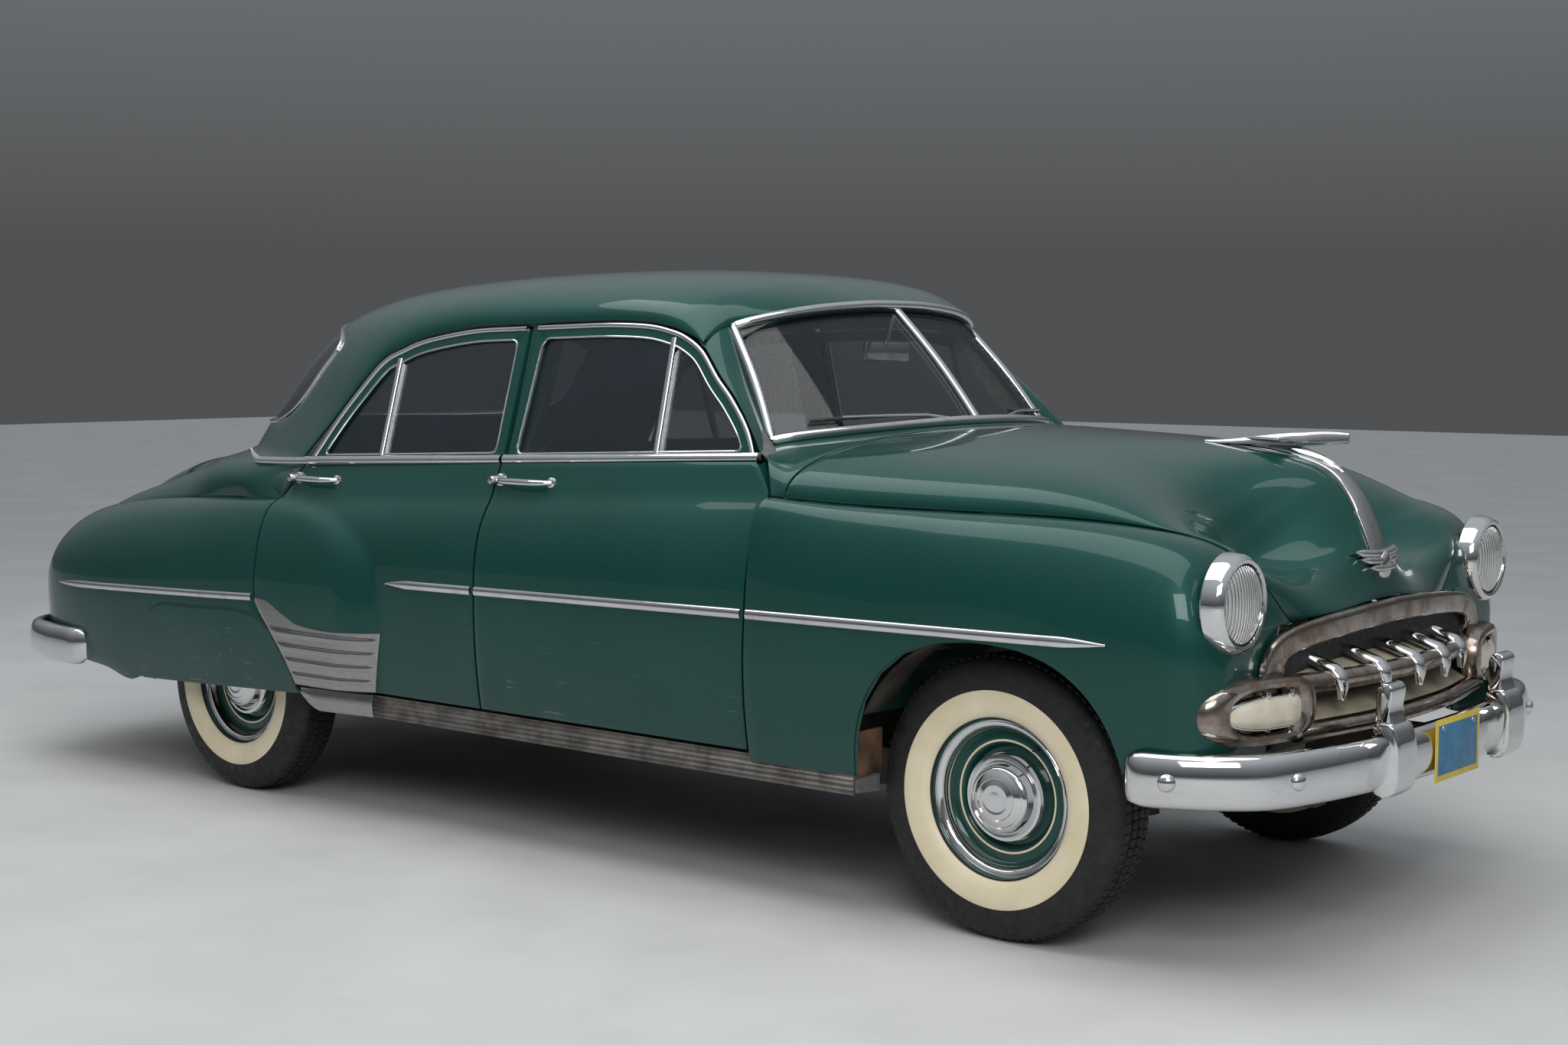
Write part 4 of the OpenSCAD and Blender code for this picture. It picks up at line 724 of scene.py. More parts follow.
IRON = simple("engine_iron", (0.1, 0.1, 0.095), (0.19, 0.17, 0.14), 12.0, 0.6, 0.5, 0.3)
RUSTY = simple("rusty_inner_panel", (0.05, 0.035, 0.026), (0.19, 0.1, 0.055), 11.0, 0.85, 0.1, 0.4)
SPLASH = simple("tan_splash_panel", (0.3, 0.26, 0.19), (0.42, 0.37, 0.28), 10.0, 0.6, 0.0, 0.15)
BLUE = simple("plate_blue", (0.035, 0.15, 0.28), (0.05, 0.19, 0.34), 18.0, 0.45, 0.0, 0.05)
YELLOW = simple("plate_yellow", (0.62, 0.44, 0.05), (0.7, 0.52, 0.08), 18.0, 0.45)
MIRROR = chrome("mirror_silver", 0.0, (0.85, 0.86, 0.87))
print(len(bpy.data.materials), "finishes")

# %% [markdown]
# ## Roof, cowl and quarters
#
# These are welded together in a real car, so they are one piece here. The roof net runs from the
# windscreen over the rear window to the deck lid; a block of it around the rear window is refilled with
# rings that shrink from a rectangle to the rounded opening, so its edge is smooth.


# %% points of hood, deck lid and roof
def arc(k):
    """Angle from the middle, k = 0, to the edge of a crowned panel, k = 8 or -8."""
    return math.radians(90 * abs(k) / 8)


def hood_point(row, k):
    """Point of the hood; from row 3 on its crown narrows to a prow between hollow flanks."""
    s = between(HOOD, row)
    a = arc(k)
    edge_z, edge_w = read(FRONT, 3, s[2]) + 2.5, read(FRONT, 2, s[2]) - 3
    share = math.sin(a) ** 0.87
    prow = clip((row - 3) / 3)
    prow = prow * prow * (3 - 2 * prow)
    crown = (1 - prow) * max(math.cos(a), 0) ** 0.87 + prow * (1 + math.cos(math.pi * share)) / 2
    hollow = s[3] * math.sin(math.pi * share) ** 2
    rise = max(s[1], edge_z + 2) - edge_z
    return (FX + s[0] + (s[2] - s[0]) * share ** 2 - 0.75 * hollow, -math.copysign(edge_w * share, k),
            edge_z + rise * crown - 0.66 * hollow)


def deck_point(row, k):
    """Point of the deck lid."""
    s = between(DECK, row)
    a = arc(k)
    edge_w, edge_z = read(REAR, 5, s[2]) - 3 - 24 * s[3], rear_top(s[2]) + 2
    top = max(s[1], edge_z + 1)
    w = edge_w * math.sin(a) ** 0.87
    return (RX + s[0] + (s[2] - s[0]) * (w / edge_w) ** 2.2, -math.copysign(w, k),
            edge_z + (top - edge_z) * max(math.cos(a), 0) ** 0.87)


def roof_point(f, k, depth=0.0):
    """Roof up to row 13, then the shelf down to the deck lid up to row 14."""
    last = len(ROOF) - 1
    s = between(ROOF, min(f, last))
    u = math.sin(arc(k)) ** 0.85
    half = window_w(s[1]) + 8 - 0.9 * depth
    xc, zc, zs = s[2] + depth * s[4], s[3] - depth * (1 - 0.5 * s[4]), s[1] - 0.35 * depth
    p = np.array((FX + xc + (s[0] - xc) * u ** 2.4, -math.copysign(u * half, k),
                  zs + (zc - zs) * max(1 - u ** 2.5, 0) ** 0.45))
    if f < 1.6:
        brow = np.array((FX + read(BROW, 1, abs(p[1])), p[1], read(BROW, 2, abs(p[1]))))
        p = p + (brow - p) * (1 - f / 1.6) ** 2
    if f <= last:
        return p
    lid = np.array(deck_point(0, k)) + (GAP + 2, 0, 0)
    share = abs(k) / 8
    mid = (p + lid) / 2 + (6 * share, math.copysign(34 * share ** 3, -k), 2)
    t, bend = f - last, 2 * mid - (p + lid) / 2
    return (1 - t) ** 2 * p + 2 * t * (1 - t) * bend + t * t * lid


# rear window: its middle row, half its height in rows and half its width in columns
WINDOW = (11.4, 1.15, 4.6)


def window_edge(f, k):
    """The point of the rear window's rounded edge in the same direction from its middle."""
    a, b = (f - WINDOW[0]) / WINDOW[1], k / WINDOW[2]
    reach = (abs(a) ** 5 + abs(b) ** 5) ** -0.2
    return WINDOW[0] + a * reach * WINDOW[1], b * reach * WINDOW[2]


rows_f = np.concatenate([np.linspace(0, 9.8, 64), np.linspace(9.8, 13, 25)[1:], np.linspace(13, 14, 9)[1:]])
cols_k = np.concatenate([np.linspace(-8, -6, 12), np.linspace(-6, 6, 57)[1:], np.linspace(6, 8, 12)[1:]])
roof_net = np.array([[roof_point(f, k) for k in cols_k] for f in rows_f])


def refill(i, j, step):
    """Point on the way from the cut-out's border to the window's edge."""
    f, k = rows_f[i], cols_k[j]
    f1, k1 = window_edge(f, k)
    return roof_point(f + (f1 - f) * step, k + (k1 - k) * step)


print("roof net of", len(rows_f), "by", len(cols_k), "points")

# %% welded body
body = Shape()
body.panel(roof_net, PAINT, 6.0, ((63, 87), (11, 67), refill))
cowl_k = np.linspace(-8, 8, 65)
lip = np.array([hood_point(0, k) for k in cowl_k]) - (GAP + 2, 0, 0)
foot = np.array([between(COWL, abs(k)) * (1, -math.copysign(1, k), 1) for k in cowl_k]) + (FX, 0, 0)
body.panel([lip + (foot - lip) * v for v in np.linspace(0, 1, 7)], PAINT, 5.0)
quarter = []
for o in np.concatenate([[323], np.linspace(245, -1165, 56)]):
    line = []
    for u in np.linspace(0, 1, 13):
        b = 18 * math.sin(math.pi * u)
        low_z, top_z = read(REAR, 4, o), rear_top(o)
        low_w, top_w = read(REAR, 3, o), read(REAR, 5, o)
        z = low_z + (top_z - low_z) * u + 0.6 * b
        x = RX + (read(DOOR_REAR, 1, z) - 2 if o > 300 else o)
        join = clip((o - 40) / 205)
        w = low_w + (top_w - low_w) * u + b
        line.append((x, -(w + (door_w(x, z) - w) * join), z))
    quarter.append(line)
pillar = []
for t in np.linspace(0, 4.5, 26):
    g = np.array(COWL[6], float) + (np.array(SCREEN_TOP[6], float) - COWL[6]) * min(t / 4, 1.06)
    a = between(ARCH, t)
    lift = 21 * max(0, 1 - t)
    near = np.array((FX + g[0] + 10, -g[1] - 5, g[2] + 5))
    far = np.array((FX + a[0] + 3, -window_w(a[1] + lift) - 1, a[1] + lift))
    pillar.append([near + (far - near) * u + np.array((3, -5, 3)) * math.sin(math.pi * u)
                   for u in np.linspace(0, 1, 6)])
for way in SIDES.values():
    body.panel(mirrored(quarter, way), PAINT)
    body.panel(mirrored(pillar, way), PAINT, 4.0)
body.inner("body_shell", 9.0, LINING, settled)
skin = body.done("body_skin", "car", "body_paint", "body_shell")
print(skin.name, len(skin.data.polygons), "faces")

# %% [markdown]
# ## Fenders and skirts
#
# The front fender's lower edge is the wheel arch, so the columns of its net crowd together where the
# arch rises steeply. The rear fender is a long drop shape; its skirt lies over the edge of the opening,
# three millimetres proud, with a dark seal line round it. Behind each skin lies the part's own panel, drawn
# in a little, so that the wheel housing is closed.


# %% net of the front fender
def arch_low(o):
    """Lower edge of the front fender."""
    reach, low = (372, 372) if o < 0 else (392, 470)
    if abs(o) >= reach:
        return low
    return max(low, AXLE + 390 * (1 - (abs(o) / reach) ** 2.4) ** (1 / 2.4))


def front_section(o):
    wide, seam, seam_z, low = read(FRONT, 1, o), read(FRONT, 2, o), read(FRONT, 3, o), arch_low(o)
    mid = max(WIDE_Z, low + 6)
    line = [(FX + o, -(wide - TUCK * ((mid - z) / FALL) ** 2), z) for z in np.linspace(low, mid, 10)[:-1]]
    for a in np.linspace(0, math.pi / 2, 22):
        line.append((FX + o, -(seam + (wide - seam) * max(math.cos(a), 0) ** 0.75),
                     mid + (seam_z - mid) * math.sin(a) ** 0.75))
    return np.array(line)


def folded(section, limit, ahead, steps):
    """Sections that fold a fender's end in towards a half width; steps are (share left, reach)."""
    for share, reach in steps:
        face = section.copy()
        inner_w = np.minimum(-face[:, 1], limit)
        face[:, 1] = -(inner_w + (-face[:, 1] - inner_w) * share)
        face[:, 0] += ahead * reach
        yield face


turn = np.linspace(0, math.pi / 2, 20)[1:]
columns = np.concatenate([np.linspace(-672, -374, 12), -372 * np.cos(turn) ** 0.8,
                          392 * np.sin(turn) ** 0.8, np.linspace(396, 540, 12), np.linspace(546, 583, 9)])
first = front_section(-690)
first[:, 0] = [FX + read(DOOR_FRONT, 1, z) + GAP / 2 for z in first[:, 2]]
front_net = [first] + [front_section(o) for o in columns]
front_net += folded(front_section(583), 500, 1,
                    ((0.97, 2.6), (0.92, 4.4), (0.8, 5.5), (0.6, 6), (0.4, 6), (0.2, 6), (0.04, 6)))
print(len(front_net), "sections of the front fender")


# %% nets of the rear fender and its skirt
def rear_section(o):
    low = skirt_top(o) - 34 if o > -312 else read(REAR, 2, min(o, -400))
    valley, crown, wide = read(REAR, 3, o), read(REAR, 4, o), read(REAR, 1, o)
    h = max(rear_wide(o), low + 4)
    line = [(RX + o, -fender_w(RX + o, z), z) for z in np.linspace(low, h, 8)[:-1]]
    for a in np.linspace(0, math.pi / 2, 18):
        line.append((RX + o, -(valley + 1 + (wide - valley - 1) * max(math.cos(a), 0)),
                     h + (crown - h) * math.sin(a) ** (1 / 1.2)))
    return np.array(line)


columns = np.concatenate([np.linspace(244, -306, 24), [-312.5], np.linspace(-340, -1100, 30),
                          np.linspace(-1112, -1165, 7)])
rear_net = [rear_section(o) for o in columns]
for p in rear_net[0]:
    p[0] = RX + read(DOOR_REAR, 1, p[2]) - 2
    p[1] = -fender_w(RX + 244, p[2]) if p[2] < 640 else p[1]
rear_net += folded(rear_section(-1165), 576, -1,
                   ((0.97, 2.6), (0.9, 4.6), (0.75, 5.6), (0.5, 6), (0.25, 6), (0.1, 6)))
SKIRT_LONG = 633
skirt_net = []
for v in np.linspace(0, 1, 24):
    line = []
    for u in (1 - np.cos(np.linspace(0, math.pi, 45))) / 2:
        top = skirt_top(-331 + SKIRT_LONG * u)
        for reach, corner in ((SKIRT_LONG * u, 120), (SKIRT_LONG * (1 - u), 62)):
            if reach < corner:
                top -= 0.85 * corner * (1 - math.sqrt(max(1 - (1 - reach / corner) ** 2, 0)))
        low = 341 + 31 * u
        z = low + (top - low) * v
        behind = -365 + 34 * clip((z - 341) / 170)
        o = behind + (read(DOOR_REAR, 1, z) - 2 - behind) * u
        line.append((RX + o, -fender_w(RX + o, z) - 3.2, z))
    skirt_net.append(line)
rim_line = [row[0] for row in skirt_net] + skirt_net[-1][1:-1] + [row[-1] for row in skirt_net[::-1]]
print(len(rear_net), "sections of the rear fender")

# %% fenders and skirts
for side, way in SIDES.items():
    fender = Shape()
    fender.panel(mirrored(front_net, way), PAINT)
    fender.inner("fender_front_" + side, 10.0, BLACK)
    fender.block((FX - 392, -way * 862, 334), (FX - 381, -way * 742, 478), RUSTY, 2.0)
    fender.done("front_fender_" + side, "car", "body_paint", "fender_front_" + side)
    fender = Shape()
    fender.panel(mirrored(rear_net, way), PAINT)
    fender.inner("fender_rear_" + side, 10.0, BLACK, raised)
    fender.done("rear_fender_" + side, "car", "body_paint", "fender_rear_" + side)
    cover = Shape()
    cover.panel(mirrored(skirt_net, way), PAINT, 6.0)
    cover.tube(mirrored(rim_line, way) + (0, way * 2.6, 0), 2.4, GASKET, 8, hint=(0, 1, 0))
    cover.inner("skirt_" + side, 9.0, BLACK)
    cover.done("wheel_skirt_" + side, "car", "body_paint", "skirt_" + side)
print("four fenders and two skirts")

# %% [markdown]
# ## Hood and deck lid
#
# Both lids are crowned sheets. The hood is thick enough to need no second panel, and gets its own two
# hinge arms. The deck lid lies on the part's plain lid, which is drawn down with it.

# %% lids
HOOD_HINGE = (FX - 638, 300, 1183)
# outline of a hinge arm, ahead of the pin and above it
ARM = [[-9, -9], [-9, 9], [9, 9], [14, -62], [185, -62], [185, 26], [225, 24], [225, -84], [-4, -84]]
lid = Shape()
lid.panel([[hood_point(f, k) for k in np.linspace(-8, 8, 81)] for f in np.linspace(0, 10, 90)], PAINT, 8.0)
pin_x, arm_y, pin_z = HOOD_HINGE
for y in (-arm_y, arm_y):
    lid.loft([[(pin_x + a, y + side, pin_z + b) for a, b in ARM] for side in (-3, 3)], BLACK)
lid.done("hood_skin", "hood", "body_paint", "hood")
lid = Shape()
lid.panel([[deck_point(f, k) for k in np.linspace(-8, 8, 61)] for f in np.linspace(0, 6, 54)], PAINT)
lid.inner("deck_lid", 9.0, BLACK, settled)
lid.done("deck_skin", "deck_lid", "body_paint", "deck_lid")
print("two lids")

# %% [markdown]
# ## Doors and their windows
#
# Each door is one sheet from sill to belt, with a slim window frame standing on it in the leaning plane
# of the side glass. The frame's outline is the roof's edge, drawn in by a few millimetres; the same
# outline drawn in further is the glass. Chrome runs along the frame, round the glass and along the belt.


# %% door outlines
def arch_point(t, inset):
    """Roof edge over the windows, drawn in by inset, as (x, z)."""
    a, b = between(ARCH, max(t - 0.04, 0)), between(ARCH, min(t + 0.04, 17))
    run = (b - a) / np.linalg.norm(b - a)
    p = between(ARCH, t)
    return np.array((FX + p[0] - run[1] * inset, p[1] + run[0] * inset))


def resample(points, trim, count):
    """The same line with evenly spread points, cut short by trim at both ends."""
    points = np.array(points, float)
    gone = travelled(points)
    at = np.linspace(trim, gone[-1] - trim, count)
    return np.stack([np.interp(at, gone, points[:, i]) for i in range(points.shape[1])], 1)


def rounded(sides, radius, counts):
    """Closed outline from its sides, with its corners rounded."""
    parts = [resample(s, radius, n) for s, n in zip(sides, counts)]
    loop = []
    for i, part in enumerate(parts):
        after, corner = parts[(i + 1) % len(parts)], np.array(sides[i][-1], float)
        loop.extend(part)
        for u in (0.2, 0.4, 0.6, 0.8):
            loop.append((1 - u) ** 2 * part[-1] + 2 * u * (1 - u) * corner + u * u * after[0])
    return np.array(loop)


def frame_sides(rear, inset, low):
    """The three sides of a window frame's outline, the arch first."""
    ahead = -1 if rear else 1
    post = SPLIT + ahead * (6 + inset)
    line = [arch_point(t, inset) for t in np.arange(0, 17.001, 0.02)]
    arch = [p for p in line if (p[0] - post) * ahead > 0 and p[1] > low(p[0])]
    foot = np.array((SPLIT + ahead * (GAP / 2 + inset - 6), low(SPLIT)))
    return [arch, [arch[-1], foot], [foot, arch[0]]]


def on_window(p, depth, way):
    """Point of the leaning window plane, depth under its outer face."""
    x, z = p
    return np.array((x, way * (-window_w(z) + depth * math.cos(LEAN)), z - depth * math.sin(LEAN)))


def above_belt(x):
    return belt(x) + 26


def below_belt(x):
    return belt(x) - 22


def door_net(front, back, surface, across):
    """Net of a door's sheet, from its lower edge to the belt."""
    low = 398
    net = []
    for v in np.linspace(0, 1, 40):
        line = []
        for u in np.linspace(0, 1, across):
            z = low + 700 * v
            for _ in range(3):
                x = front(z) + (back(z) - front(z)) * u
                z = low + (belt(x) - low) * v
            line.append((x, -surface(x, z), z))
        net.append(line)
    return net


# front edge, rear edge, surface and columns of each door's net
DOORS = {
    "front": (lambda z: FX + read(DOOR_FRONT, 1, z) - GAP / 2, lambda z: SPLIT + GAP / 2, door_w, 40),
    "rear": (lambda z: SPLIT - GAP / 2, lambda z: RX + read(DOOR_REAR, 1, z) + GAP / 2, rear_door_w, 64),
}
# foot and head of the bar between the window and its small vent pane
BARS = {"front": ((FX - 1138, 1125), (FX - 1162, 1458)), "rear": ((RX + 668, 1090), (RX + 654, 1394))}
# rear end, front end and height of each handle
GRIPS = {"front": (-30, 185, 1052), "rear": (-935, -745, 1022)}
# across a window frame from its outer to its inner outline: share, depth under the face
FRAME = ((0, 24), (0, 2.5), (0.05, 0), (0.9, -0.5), (1, 3), (1, 24))
print("outlines of", len(DOORS), "doors on each side")


# %% door chrome
def handle(shape, end, surface, way):
    """Pull handle with its two feet and a push button."""
    low_x, high_x, hz = GRIPS[end]
    grip = []
    for u in np.linspace(0, 1, 26):
        x = low_x + (high_x - low_x) * u
        stand = 5 + 30 * clip(math.sin(math.pi * u) * 1.6) ** 0.6
        grip.append((x, -way * (surface(x, hz) + stand), hz))
    shape.tube(grip, 7.5 + 3 * np.sin(np.linspace(0, math.pi, 26)), TRIM, 14)
    profile = np.array([[0, 0], [20, 0], [19, 9], [12, 15], [0, 16]])
    for x, size in ((low_x + 6, 1.0), (high_x - 4, 0.8)):
        shape.spin((x, -way * (surface(x, hz) - 4), hz), (0, -way, 0), profile * size, TRIM, 28)
    button = (low_x - 6, -way * (surface(low_x, hz) + 6), hz)
    shape.spin(button, (0, -way, 0), [[0, 0], [13, 0], [13, 22], [10, 27], [0, 28]], TRIM, 24)


def door_chrome(shape, end, way, glass_loop):
    """Mouldings over the window, round the glass, along the belt and along the flank, and the handle."""
    front, back, surface, _ = DOORS[end]
    out = (0, -way * math.cos(LEAN), math.sin(LEAN))
    arch = resample(frame_sides(end == "rear", 13, below_belt)[0], 3, 90)
    shape.strip([on_window(p, 0, way) for p in arch], out, 15, 8, TRIM, power=0.6)
    shape.tube([on_window(p, 1.5, way) for p in glass_loop], 3.6, TRIM, 8, closed=True, hint=out)
    low, high = np.array(BARS[end])
    bar = [on_window(low + (high - low) * v, 3, way) for v in np.linspace(0, 1, 8)]
    shape.strip(bar, out, 19, 8, TRIM, sink=12, power=0.6)
    xs = np.linspace(front(belt(front(1100))) - 2, back(belt(back(1000))) + 2, 50)
    line = [(x, -way * (window_w(belt(x) + 12) + 6), belt(x) + 10) for x in xs]
    shape.strip(line, (0, -way * 0.86, 0.5), 27, 12, TRIM, sink=16, power=0.7)
    xs = np.linspace(front(750) - 5, back(750) + 5 if end == "front" else -420, 40)
    points, normals = on_side(xs, 740 + 14 * (xs + 44) / 1013, surface, way)
    shape.strip(points, normals, 27, 9, TRIM, tips=(0, 90 if end == "rear" else 0), power=0.7)
    handle(shape, end, surface, way)


print("door chrome ready")

# %% doors
for side, way in SIDES.items():
    for end, (front, back, surface, count) in DOORS.items():
        node = f"{end}_{side}"
        outer = rounded(frame_sides(end == "rear", 10, below_belt), 10, (70, 16, 26))
        inner_loop = rounded(frame_sides(end == "rear", 44, above_belt), 26, (70, 16, 26))
        door = Shape()
        door.panel(mirrored(door_net(front, back, surface, count), way), PAINT, 5.0)
        door.inner("door_" + node, 11.0, LINING)
        across = inner_loop - outer
        door.loft([[on_window(p, d, way) for p in outer + across * s] for s, d in FRAME], PAINT, closed=True)
        door.done("door_skin_" + node, "door_" + node, "body_paint", "door_" + node)
        pane = Shape()
        pane.loft([[on_window(p, d, way) for p in inner_loop] for d in (10, 14)], GLASS)
        pane.done("pane_" + node, "door_" + node, "glass", "glass_" + node)
        bright = Shape()
        door_chrome(bright, end, way, inner_loop)
        bright.done("door_chrome_" + node, "door_" + node, "chrome")
print("four doors, panes and their chrome")

# %% [markdown]
# ## Windscreen, rear window and their mouldings
#
# The screen is two panes that meet at a bright post. It is drawn between the line of the cowl and the
# line of the roof, a little bowed. A broad moulding runs round it and a rubber seal lies under it. The
# rear window follows the roof's own surface, seven millimetres deeper, with a thin bead on its edge.


# %% screens
def screen_point(k, v):
    """Point of the windscreen: k across from -6 to 6, v from the cowl up to the roof."""
    a, b = between(COWL[:7], abs(k)), between(SCREEN_TOP, abs(k))
    bow = 10 * math.sin(math.pi * clip(v))
    p = a + (b - a) * v
    return np.array((FX + p[0] - 3 + bow, -math.copysign(p[1], k), p[2] - 4 * v + 0.5 * bow))


glass = Shape()
across = np.linspace(-5.97, 5.97, 61)
net = np.array([[screen_point(k, v) for k in across] for v in np.linspace(0.0, 1.0, 17)])
glass.take(pressed(net, 6.0, 0.6), SCREEN)
glass.done("screen_glass", "car", "glass", "windscreen")
glass = Shape()
back = []
for v in np.linspace(-0.998, 0.998, 33):
    half = WINDOW[2] * (1 - abs(v) ** 5) ** 0.2
    row = WINDOW[0] + v * WINDOW[1] * 0.995
    back.append([roof_point(row, half * u, 7) for u in np.linspace(-1, 1, 49)])
glass.panel(back, GLASS, 6.0, roll=0.6)
glass.done("rear_glass", "car", "glass", "rear_window")
print("two screens")

# %% mouldings round the screens
SCREEN_OUT = (0.75, 0, 0.6)
edge = Shape()
loop = [screen_point(k, 0.0) for k in np.linspace(-6, 6, 70)]
loop += [screen_point(6, v) for v in np.linspace(0, 1, 24)[1:-1]]
loop += [screen_point(k, 1.0) for k in np.linspace(6, -6, 70)]
loop += [screen_point(-6, v) for v in np.linspace(1, 0, 24)[1:-1]]
loop = np.array(loop)
edge.tube(loop + (4, 0, 3), 15, GASKET, 10, closed=True, hint=SCREEN_OUT)
edge.tube(loop + (13, 0, 9), 13.5, TRIM, 14, closed=True, hint=SCREEN_OUT)
post = [screen_point(0.0001, v) + (3, 0, 1) for v in np.linspace(0.01, 0.99, 20)]
edge.strip(post, SCREEN_OUT, 30, 12, TRIM, sink=8, power=0.7)
rim = [roof_point(*window_edge(WINDOW[0] + math.cos(a), WINDOW[2] * math.sin(a))) for a in circle(140)]
edge.tube(rim, 7, TRIM, 10, closed=True, hint=(-0.5, 0, 0.8))
for way in SIDES.values():
    rear_line = []
    for o in np.linspace(352, 18, 40):
        lift = 34 * clip((90 - o) / 72) ** 2
        at = min(o, 323)
        rear_line.append((RX + o, -way * (read(REAR, 5, at) + 5 - 0.32 * lift), rear_top(at) + 8 + lift))
    edge.strip(rear_line, (0, -way * 0.8, 0.6), 25, 11, TRIM, sink=14, power=0.7, tips=(0, 50))
edge.done("screen_mouldings", "car", "chrome")
print("mouldings")

# %% [markdown]
# ## Trim on the flanks
#
# Side strips taper to points at their ends. The stone guard is a brushed sheet with four pressed ribs on
# the swell of the rear door, a toe piece carries it on below the door, and the rocker strip is a ribbed
# band along the sill.

# %% side trim
guard_low = 400
for side, way in SIDES.items():
    strip = Shape()
    xs = np.linspace(FX - 700, FX + 345, 60)
    points, normals = on_side(xs, 754 + 9 * (xs - 969) / 1045, fender_front_w, way)
    strip.strip(points, normals, 27, 9, TRIM, tips=(0, 110), power=0.7)
    xs = np.linspace(RX + 244, RX - 873, 60)
    points, normals = on_side(xs, 655 - 34 * ((RX + 248 - xs) / 1126) ** 0.9, fender_w, way)
    strip.strip(points, normals, 25, 9, TRIM, tips=(0, 140), power=0.7)
    rocker = []
    for v in np.linspace(0, 1, 34):
        w = 864 + 2.2 * math.cos(v * 2 * math.pi * 5) + 3 * math.sin(math.pi * v)
        rocker.append([(x, -way * w, 322 + 66 * v) for x in np.linspace(RX + 722, FX - 378, 24)])
    strip.panel(rocker, ROCKER, 4.0, roll=0.8)
    toe = []
    for v in np.linspace(0, 1, 12):
        line = []
        for u in np.linspace(0, 1, 34):
            low = 320 + 52 * clip(1 - u / 0.3) ** 2
            w = 911 - 43 * u ** 0.8 + 5 * math.sin(math.pi * v)
            line.append((RX + 437 + 290 * u, -way * w, low + (391 - low) * v))
        toe.append(line)
    strip.panel(toe, STEEL, 5.0, roll=1.5)
    strip.done("side_trim_" + side, "car", "chrome")
    guard = Shape()
    net = []
    for v in np.linspace(0, 1, 80):
        line = []
        for u in np.linspace(0, 1, 34):
            z = guard_low + 190 * v
            for _ in range(5):
                back_x, front_x = read(DOOR_REAR, 1, z) + 5, 752 + 48 * clip((z - 389) / 195)
                o = back_x + (front_x - back_x) * u
                z = guard_low + (read(GUARD, 1, o) - guard_low) * v
            rib = max(0, math.cos((z - 555) / 42.4 * 2 * math.pi)) * clip((575 - z) / 8)
            rib *= min(1, (1 - u) * 14, u * 14)
            line.append((RX + o, -way * (rear_door_w(RX + o, z) + 3.5 + 4.0 * rib), z))
        net.append(line)
    guard.panel(net, STEEL, 5.0, roll=1.5)
    guard.done("stone_guard_" + side, "door_rear_" + side, "chrome")
print("side trim")

# %% [markdown]
# ## Grille, lamps and bumpers
#
# The grille is cast bars with age on them: a bowed top bar that turns down into legs, a round middle bar
# with five claws laid over it, a lower bar and an oval housing for each parking lamp, with tan shelves and
# a dark sheet behind, which is painted shade for the dark space behind the grille. The bumpers are one
# section swept along a bow, and their guards are rounded posts on a wider foot. Headlamps are turned: a
# chrome ring, a dark seal and a ribbed glass.


# %% grille bars
def nose(w):
    """Front of the nose at a half width."""
    return FX + read(NOSE, 1, min(abs(w), 873))


def sweep(shape, line, section, finish, tip=0.0):
    """Bar along a line in plan; section is [out, up], out is square to the line, tip rounds the ends."""
    line = np.array(line, float)
    gone = travelled(line)
    deep = -min(o for o, _ in section)
    run = unit(np.gradient(line, axis=0))
    rings = []
    for p, r, s in zip(line, run, gone):
        out = np.array((r[1], -r[0], 0))
        end = min(s, gone[-1] - s)
        size = 1.0 if end >= tip else max(1 - (1 - end / tip) ** 2, 0.02) ** 0.5
        rings.append([p + out * (size * (o + deep) - deep) + np.array((0, 0, up * (0.55 + 0.45 * size)))
                      for o, up in section])
    shape.loft(rings, finish)


def oval_section(depth, half, count=20, power=0.7):
    """Closed section with a rounded face."""
    a = np.linspace(-math.pi / 2, math.pi / 2, count)
    face = [(-depth + depth * max(math.cos(t), 0) ** power, half * math.sin(t)) for t in a]
    return face + [(-depth - 6, half * 0.8), (-depth - 6, -half * 0.8)]


grille = Shape()
path, sizes = [], []
for t in np.concatenate([-np.linspace(7, 0, 60), np.linspace(0, 7, 60)[1:]]):
    g = between(GRILLE, abs(t))
    path.append((FX + g[2] + 4, math.copysign(g[0], t), g[1]))
    sizes.append(g[3] + 4)
path = np.array(path)
run = np.gradient(path, axis=0)
rings = []
for p, r, h in zip(path, run, sizes):
    e = np.array((0, -r[2], r[1])) / math.hypot(r[1], r[2])
    ring = [p + np.array((20 * max(math.cos(a), 0) ** 0.22, 0, 0)) + e * h * math.sin(a)
            for a in np.linspace(-1.5707, 1.5707, 18)]
    rings.append(ring + [p - np.array((4, 0, 0)) + e * h * s for s in (0.9, -0.9)])
grille.loft(rings, AGED)


def bar_x(w):
    """Middle of the toothed bar, bowed in plan."""
    return FX + 690 - 76 * (w / 485) ** 2


BAR_Z = 655
grille.tube([(bar_x(w), w, BAR_Z) for w in np.linspace(-490, 490, 70)], 25, AGED, 24)
claw = resample([[-104, 52], [-60, 50], [-22, 36], [8, 26], [24, 8], [29, -16], [26, -46]], 0, 40)
claw = np.concatenate([claw[:1], (claw[:-2] + claw[1:-1] + claw[2:]) / 3, claw[-1:]])
run = np.gradient(claw, axis=0)
out = np.stack([-run[:, 1], run[:, 0] * 0, run[:, 0]], 1)
for w in (-350, -175, 0, 175, 350):
    line = [(bar_x(w) + q[0], w, BAR_Z + q[1]) for q in claw]
    grille.strip(line, out, 50, 13, TRIM, tips=(36, 52), sink=9, sides=13, power=1.2)
low_line = [(nose(w) - 4, w, 548) for w in np.linspace(-520, 520, 70)]
sweep(grille, low_line, oval_section(30, 22), AGED)
across = np.linspace(-470, 470, 41)
inwards = np.linspace(0, 1, 6)
